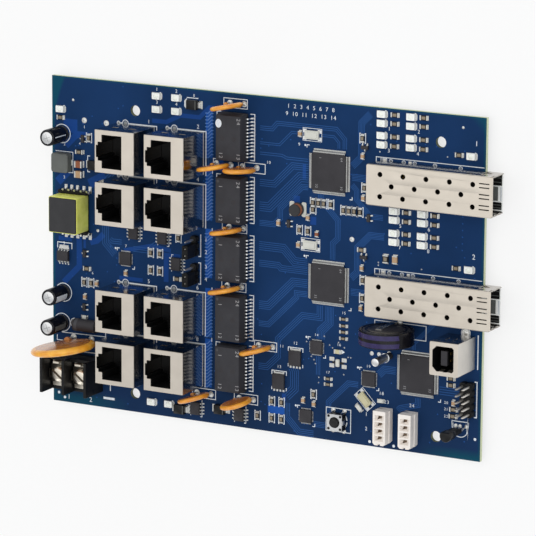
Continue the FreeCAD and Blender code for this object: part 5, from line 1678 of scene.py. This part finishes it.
def pin_headers():
    """Square pins with drawn tips, eight-sided cells at their feet, and the jumpers' caps."""
    places = HEADER_PINS + JUMPER_PINS
    half = 0.32
    tip = [(-1.2, half), (7.6, half), (8.5, half * 0.45)]
    pins = Form().add(loft([raised(outline(2 * r, 2 * r), z) for z, r in tip]), 0, places)
    pins.piece("header_square_pins", ["usb_side"], "pin_tin", ["header_pins"])
    cell = np.array([(-1.27, -0.75), (-0.75, -1.27), (0.75, -1.27), (1.27, -0.75),
                     (1.27, 0.75), (0.75, 1.27), (-0.75, 1.27), (-1.27, 0.75)])
    levels = [(0.0, 0.97), (0.1, 1.0), (2.4, 1.0), (2.5, 0.97)]
    bases = Form().add(loft([raised(cell * share, z) for z, share in levels]), 0, places)
    bases.piece("header_cells", ["black_moulding"], "black_moulding", ["header_bases"])
    holes = [outline(1.1, 0.9) + (0, v) for v in (PIN_PITCH / 2, -PIN_PITCH / 2)]
    shell = plate([outline(2.4, 5.0, 0.2, 1)] + holes, 2.6, 8.7)
    caps = Form().add(shell, 0, [(x, y - PIN_PITCH / 2) for x, y in JUMPERS])
    caps.piece("jumper_shells", ["black_moulding"], "cap_moulding", ["jumper_caps"], bevel=0.12)


def reset_switch():
    """Square case under a riveted cover plate with bent legs, and the round button on its own body."""
    x, y = RESET
    form = Form()
    form.add(block(6.0, 6.0, 0.15, 3.2, 0.3, 0.12), 0, [RESET])
    form.add(plate([outline(6.0, 6.0, 0.3, 2), circle(2.05, 28)], 3.2, 3.5), 1, [RESET])
    rivets = [(x + u, y + v) for u in (-2.35, 2.35) for v in (-2.35, 2.35)]
    form.add(turned([(0.5, 3.4), (0.5, 3.6), (0.36, 3.75), (0.04, 3.78)], 14), 0, rivets)
    leg = strip([(0, 2.6), (0.25, 1.8), (0.45, 0.6), (0.25, -0.2), (0.25, -1.0)], 0.7, 0.3)
    flap = strip([(0, 3.35), (0.12, 3.2), (0.12, 1.4)], 1.6, 0.25)
    for side in (1, -1):
        form.add(leg, 1, [(x + u, y + side * 3.1) for u in (-2.25, 2.25)], 90 * side)
        form.add(flap, 1, [(x + side * 3.0, y)], 90 - 90 * side)
    form.piece("reset_case", ["black_moulding", "aluminium"], "reset_sheet", ["reset_base", "reset_plate"])
    knob = [(1.7, 2.3), (1.75, 2.4), (1.75, 4.2), (1.6, 4.36), (1.2, 4.4), (1.1, 4.36), (0.05, 4.34)]
    button = Form().add(turned(knob, 32), 0, [RESET])
    button.piece("reset_knob", ["wheel_grey"], "button_moulding", ["reset_button"], body="button")


class SWITCHBOARD_OT_headers(bpy.types.Operator):
    """White wire headers, pin header, jumpers with caps, and the reset switch"""

    bl_idname = "switch_board.headers"
    bl_label = "Headers and switch"

    def execute(self, context):
        wire_headers()
        pin_headers()
        reset_switch()
        return {"FINISHED"}


def flat_crystal(form, x, y, turn):
    """Ceramic tray, a raised seam round it, a drawn lid and four feet; the aslant one is smaller and tan."""
    size, coat = (0.86, 3) if turn % 90 else (0.88, 1)
    place = [(x, y)]
    form.add(block(6.5 * size, 3.6 * size, 0.15, 0.85, 0.2, 0.06), coat, place, turn)
    seam = [outline(6.2 * size, 3.3 * size, 0.45, 3), outline(5.0 * size, 2.2 * size, 0.4, 3)]
    form.add(plate(seam, 0.85, 1.05), coat, place, turn)
    form.add(block(5.2 * size, 2.4 * size, 0.85, 1.3, 0.45, 0.12, 0.0, 3), coat, place, turn)
    feet = grid((-3.0, 3.0), (-1.35, 1.35))
    form.add(copies(block(1.5, 1.3, 0.0, 0.3, 0.1, 0.05), feet), 0, place, turn)


def upright_sensor():
    """Half-round case on a sleeve, with three wire legs that kink back just above the board."""
    x, y = SENSOR
    form = Form()
    angle = np.radians(np.linspace(-33, 213, 25))
    bow = np.column_stack([2.2 * np.cos(angle), -2.2 * np.sin(angle)])[::-1]
    levels = [(7.9, 0.96), (8.05, 1.0), (12.35, 1.0), (12.55, 0.95), (12.6, 0.9)]
    form.add(loft([raised(bow * share, z) for z, share in levels]), 0, [SENSOR])
    form.add(block(4.0, 1.8, 2.9, 7.95, 0.4, 0.15), 1, [SENSOR])
    leg = wire([(0, 0, 8.0), (0, 0, 3.0), (0, 0, 1.5), (0, 0.4, 0.8), (0, 0.4, -1.0)], 0.27, 8, (1, 0, 0))
    form.add(leg, 2, [(x + v, y) for v in (-1.6, 0, 1.6)])
    form.piece("sensor_case", ["terminal_black", "black_moulding", "solder"], "sensor_epoxy", ["sensor"])


class SWITCHBOARD_OT_crystals(bpy.types.Operator):
    """Crystals and the upright sensor"""

    bl_idname = "switch_board.crystals"
    bl_label = "Crystals and sensor"

    def execute(self, context):
        form = Form()
        for x, y, turn in FLAT_CRYSTALS:
            flat_crystal(form, x, y, turn)
        can = [(1.5, 3.6), (1.75, 3.7), (1.75, 4.0), (1.55, 4.1), (1.55, 11.6), (1.4, 11.9), (1.1, 12.0),
               (0.05, 12.0)]
        form.add(turned(can, 28), 0, [CAN_CRYSTAL])
        form.add(turned([(1.3, 0.1), (1.3, 3.7), (0.05, 3.75)], 16), 2, [CAN_CRYSTAL])
        coats = ["aluminium", "ceramic_white", "ferrite", "crystal_lid"]
        form.piece("crystal_cases", coats, "crystal_can", ["crystals"])
        upright_sensor()
        return {"FINISHED"}


def solder_cone(profile, sides):
    """Joint that hangs from the underside: each profile point is a radius and a depth below it."""
    return turned([(radius, -LAMINATE - depth) for radius, depth in profile], sides)


class SWITCHBOARD_OT_underside(bpy.types.Operator):
    """Lead tails and solder cones on the underside"""

    bl_idname = "switch_board.underside"
    bl_label = "Underside joints"

    def execute(self, context):
        small = solder_cone([(0.06, 1.5), (0.3, 1.42), (0.34, 0.9), (0.5, 0.45), (0.85, 0.1), (0.9, 0.0)], 10)
        large = solder_cone([(0.06, 1.7), (0.5, 1.6), (0.6, 1.0), (0.95, 0.4), (1.45, 0.06), (1.5, 0.0)], 12)
        flat = solder_cone([(0.5, 0.8), (0.9, 0.4), (1.5, 0.05), (1.55, 0.0)], 12)
        pins = [(x + (1.6 if k % 2 else -0.95), y + v) for x, y in JACKS
                for k, v in enumerate(row(8, CONTACT_PITCH))]
        pins += flanks(FUSES, FUSE_SPREAD) + HEADER_PINS + JUMPER_PINS
        pins += ranks(WIRE_HEADERS, row(4, PIN_PITCH), 1.3)
        pins += RESET_LEGS + [(79.3, -50.6), (80.9, -50.6), (82.5, -50.6), (52.0, -27.7), (53.0, -26.4)]
        pins += flanks(CANS, 1.25) + [(USB[0] + u, USB[1] + v) for u in (-2.0, 0.5) for v in (-1.25, 1.25)]
        pins += ranks(CAGES, (-CAGE_ROW, CAGE_ROW))
        legs = flanks([VARISTOR], VARISTOR_SPREAD)
        legs += [(-79.2, -31.0), (-67.3, -31.0), (56.5, -15.0), (56.5, -20.6)]
        form = Form().add(small, 0, pins).add(large, 0, legs + POLES)
        form.add(flat, 0, ranks(JACKS, (-7.6, 7.6), -4.6))
        form.piece("solder_cones", ["solder"], "lead_tin")
        dress(["shield_tails"], "solder", 0.08)
        return {"FINISHED"}


def paper_floor(scene):
    """Square grid just under the part, in matt paper that glows a little where it is looked at."""
    half, count, gap = 1.6, 9, 0.0002
    u, v = np.meshgrid(np.linspace(-half, half, count), np.linspace(-half, half, count))
    points = np.stack([u.ravel(), v.ravel(), np.full(u.size, CAD_BOX[0][2] - gap)], 1)
    here = (np.arange(count - 1)[:, None] * count + np.arange(count - 1)).ravel()
    mesh = bpy.data.meshes.new("floor")
    mesh.from_pydata(points, [], np.stack([here, here + 1, here + count + 1, here + count], 1))
    floor = bpy.data.objects.new("floor", mesh)
    scene.collection.objects.link(floor)
    coat = Finish("floor_paper")
    tooth = coat.noise(0.6, 3.0)
    coat.set(base_color=coat.mix(tooth, (0.86, 0.86, 0.86), (0.9, 0.9, 0.9)),
             roughness=0.8 + (tooth - 0.5) * 0.1)
    ray = coat.node("ShaderNodeLightPath", {}, {}, "Is Camera Ray")
    seen = (ray + ray.other("Is Glossy Ray") + ray.other("Is Transmission Ray")).clip()
    glow = coat.node("ShaderNodeEmission", {}, {"Color": (1.0, 1.0, 1.0), "Strength": 1.0})
    paper = Signal(coat.tree, coat.shader.outputs[0])
    both = coat.node("ShaderNodeMixShader", {}, {0: seen * 0.72, 1: paper, 2: glow})
    feed(coat.tree, coat.tree.nodes["Material Output"].inputs["Surface"], both)
    mesh.materials.append(coat.material)


def white_surroundings(scene):
    """White room: half as bright for what it lights as for what sees it straight on."""
    world = bpy.data.worlds.new("studio")
    scene.world = world
    world.use_nodes = True
    studio = Nodes(world.node_tree)
    back = world.node_tree.nodes["Background"]
    back.inputs["Color"].default_value = (0.97, 0.985, 1.0, 1.0)
    ray = studio.node("ShaderNodeLightPath", {}, {}, "Is Camera Ray")
    seen = (ray + ray.other("Is Transmission Ray")).clip()
    feed(studio.tree, back.inputs["Strength"], 0.5 + seen * 0.5 + ray.other("Is Glossy Ray") * 0.1)


def soft_lamps(scene, power):
    """Three round soft lamps, all turned to the middle of the frame."""
    for name, place, share, size, tint in [
        ("key", (-0.25, 0.5, 0.86), 1.0, 1.9, (1.0, 0.985, 0.96)),
        ("fill", (0.62, 0.0, 0.92), 0.85, 1.6, (0.96, 0.98, 1.0)),
        ("rim", (-0.5, -0.8, 0.5), 0.25, 0.6, (1.0, 1.0, 1.0)),
    ]:
        lamp = bpy.data.lights.new(name, "AREA")
        lamp.shape = "DISK"
        lamp.size = size
        lamp.energy = power * share
        lamp.color = tint
        holder = bpy.data.objects.new(name, lamp)
        holder.location = place
        holder.rotation_euler = (-Vector(place)).to_track_quat("-Z", "Y").to_euler()
        scene.collection.objects.link(holder)


def stage_camera(scene, lens):
    """Camera at its place, with its own right, up and back directions as the columns of its turn."""
    camera = bpy.data.cameras.new("camera")
    camera.lens = lens
    camera.sensor_width = 36.0
    camera.clip_end = 20.0
    holder = bpy.data.objects.new("camera", camera)
    turn = Matrix([Vector(axis) for axis in CAMERA_AXES]).transposed().to_4x4()
    holder.matrix_world = Matrix.Translation(np.array(CAMERA_PLACE) / 1000 + HOME) @ turn
    scene.collection.objects.link(holder)
    scene.camera = holder


class SWITCHBOARD_OT_stage(bpy.types.Operator):
    """Pale floor, soft light, white surroundings and the camera"""

    bl_idname = "switch_board.stage"
    bl_label = "Stage"

    def execute(self, context):
        sizes = context.scene.board_sizes
        paper_floor(context.scene)
        white_surroundings(context.scene)
        soft_lamps(context.scene, sizes.light)
        stage_camera(context.scene, sizes.lens)
        context.scene.view_settings.view_transform = "Standard"
        return {"FINISHED"}


class SWITCHBOARD_PT_panel(bpy.types.Panel):
    """Lists the board's pieces and their settings"""

    bl_idname = "SWITCHBOARD_PT_panel"
    bl_label = "Switch board"
    bl_space_type = "VIEW_3D"
    bl_region_type = "UI"
    bl_category = "Switch board"

    def draw(self, context):
        for group in (context.scene.board_sizes, context.scene.board_colours):
            for key in group.__annotations__:
                self.layout.prop(group, key)
        for step in STEPS:
            self.layout.operator(step.bl_idname)


STEPS = (
    SWITCHBOARD_OT_finishes, SWITCHBOARD_OT_laminate, SWITCHBOARD_OT_jacks, SWITCHBOARD_OT_cages,
    SWITCHBOARD_OT_modules, SWITCHBOARD_OT_chips, SWITCHBOARD_OT_chip_parts, SWITCHBOARD_OT_usb,
    SWITCHBOARD_OT_terminal, SWITCHBOARD_OT_discs, SWITCHBOARD_OT_power_parts, SWITCHBOARD_OT_headers,
    SWITCHBOARD_OT_crystals, SWITCHBOARD_OT_underside, SWITCHBOARD_OT_stage,
)
CLASSES = (BoardSizes, BoardColours, *STEPS, SWITCHBOARD_PT_panel)


def register():
    """Adds the classes, and the settings to every scene."""
    for kind in CLASSES:
        bpy.utils.register_class(kind)
    bpy.types.Scene.board_sizes = bpy.props.PointerProperty(type=BoardSizes)
    bpy.types.Scene.board_colours = bpy.props.PointerProperty(type=BoardColours)


def unregister():
    """Takes the settings and the classes away again."""
    del bpy.types.Scene.board_colours
    del bpy.types.Scene.board_sizes
    for kind in reversed(CLASSES):
        bpy.utils.unregister_class(kind)


def main():
    """Registers the classes, and makes every piece in order."""
    register()
    for step in STEPS:
        group, name = step.bl_idname.split(".")
        getattr(getattr(bpy.ops, group), name)()


if __name__ == "__main__":
    main()
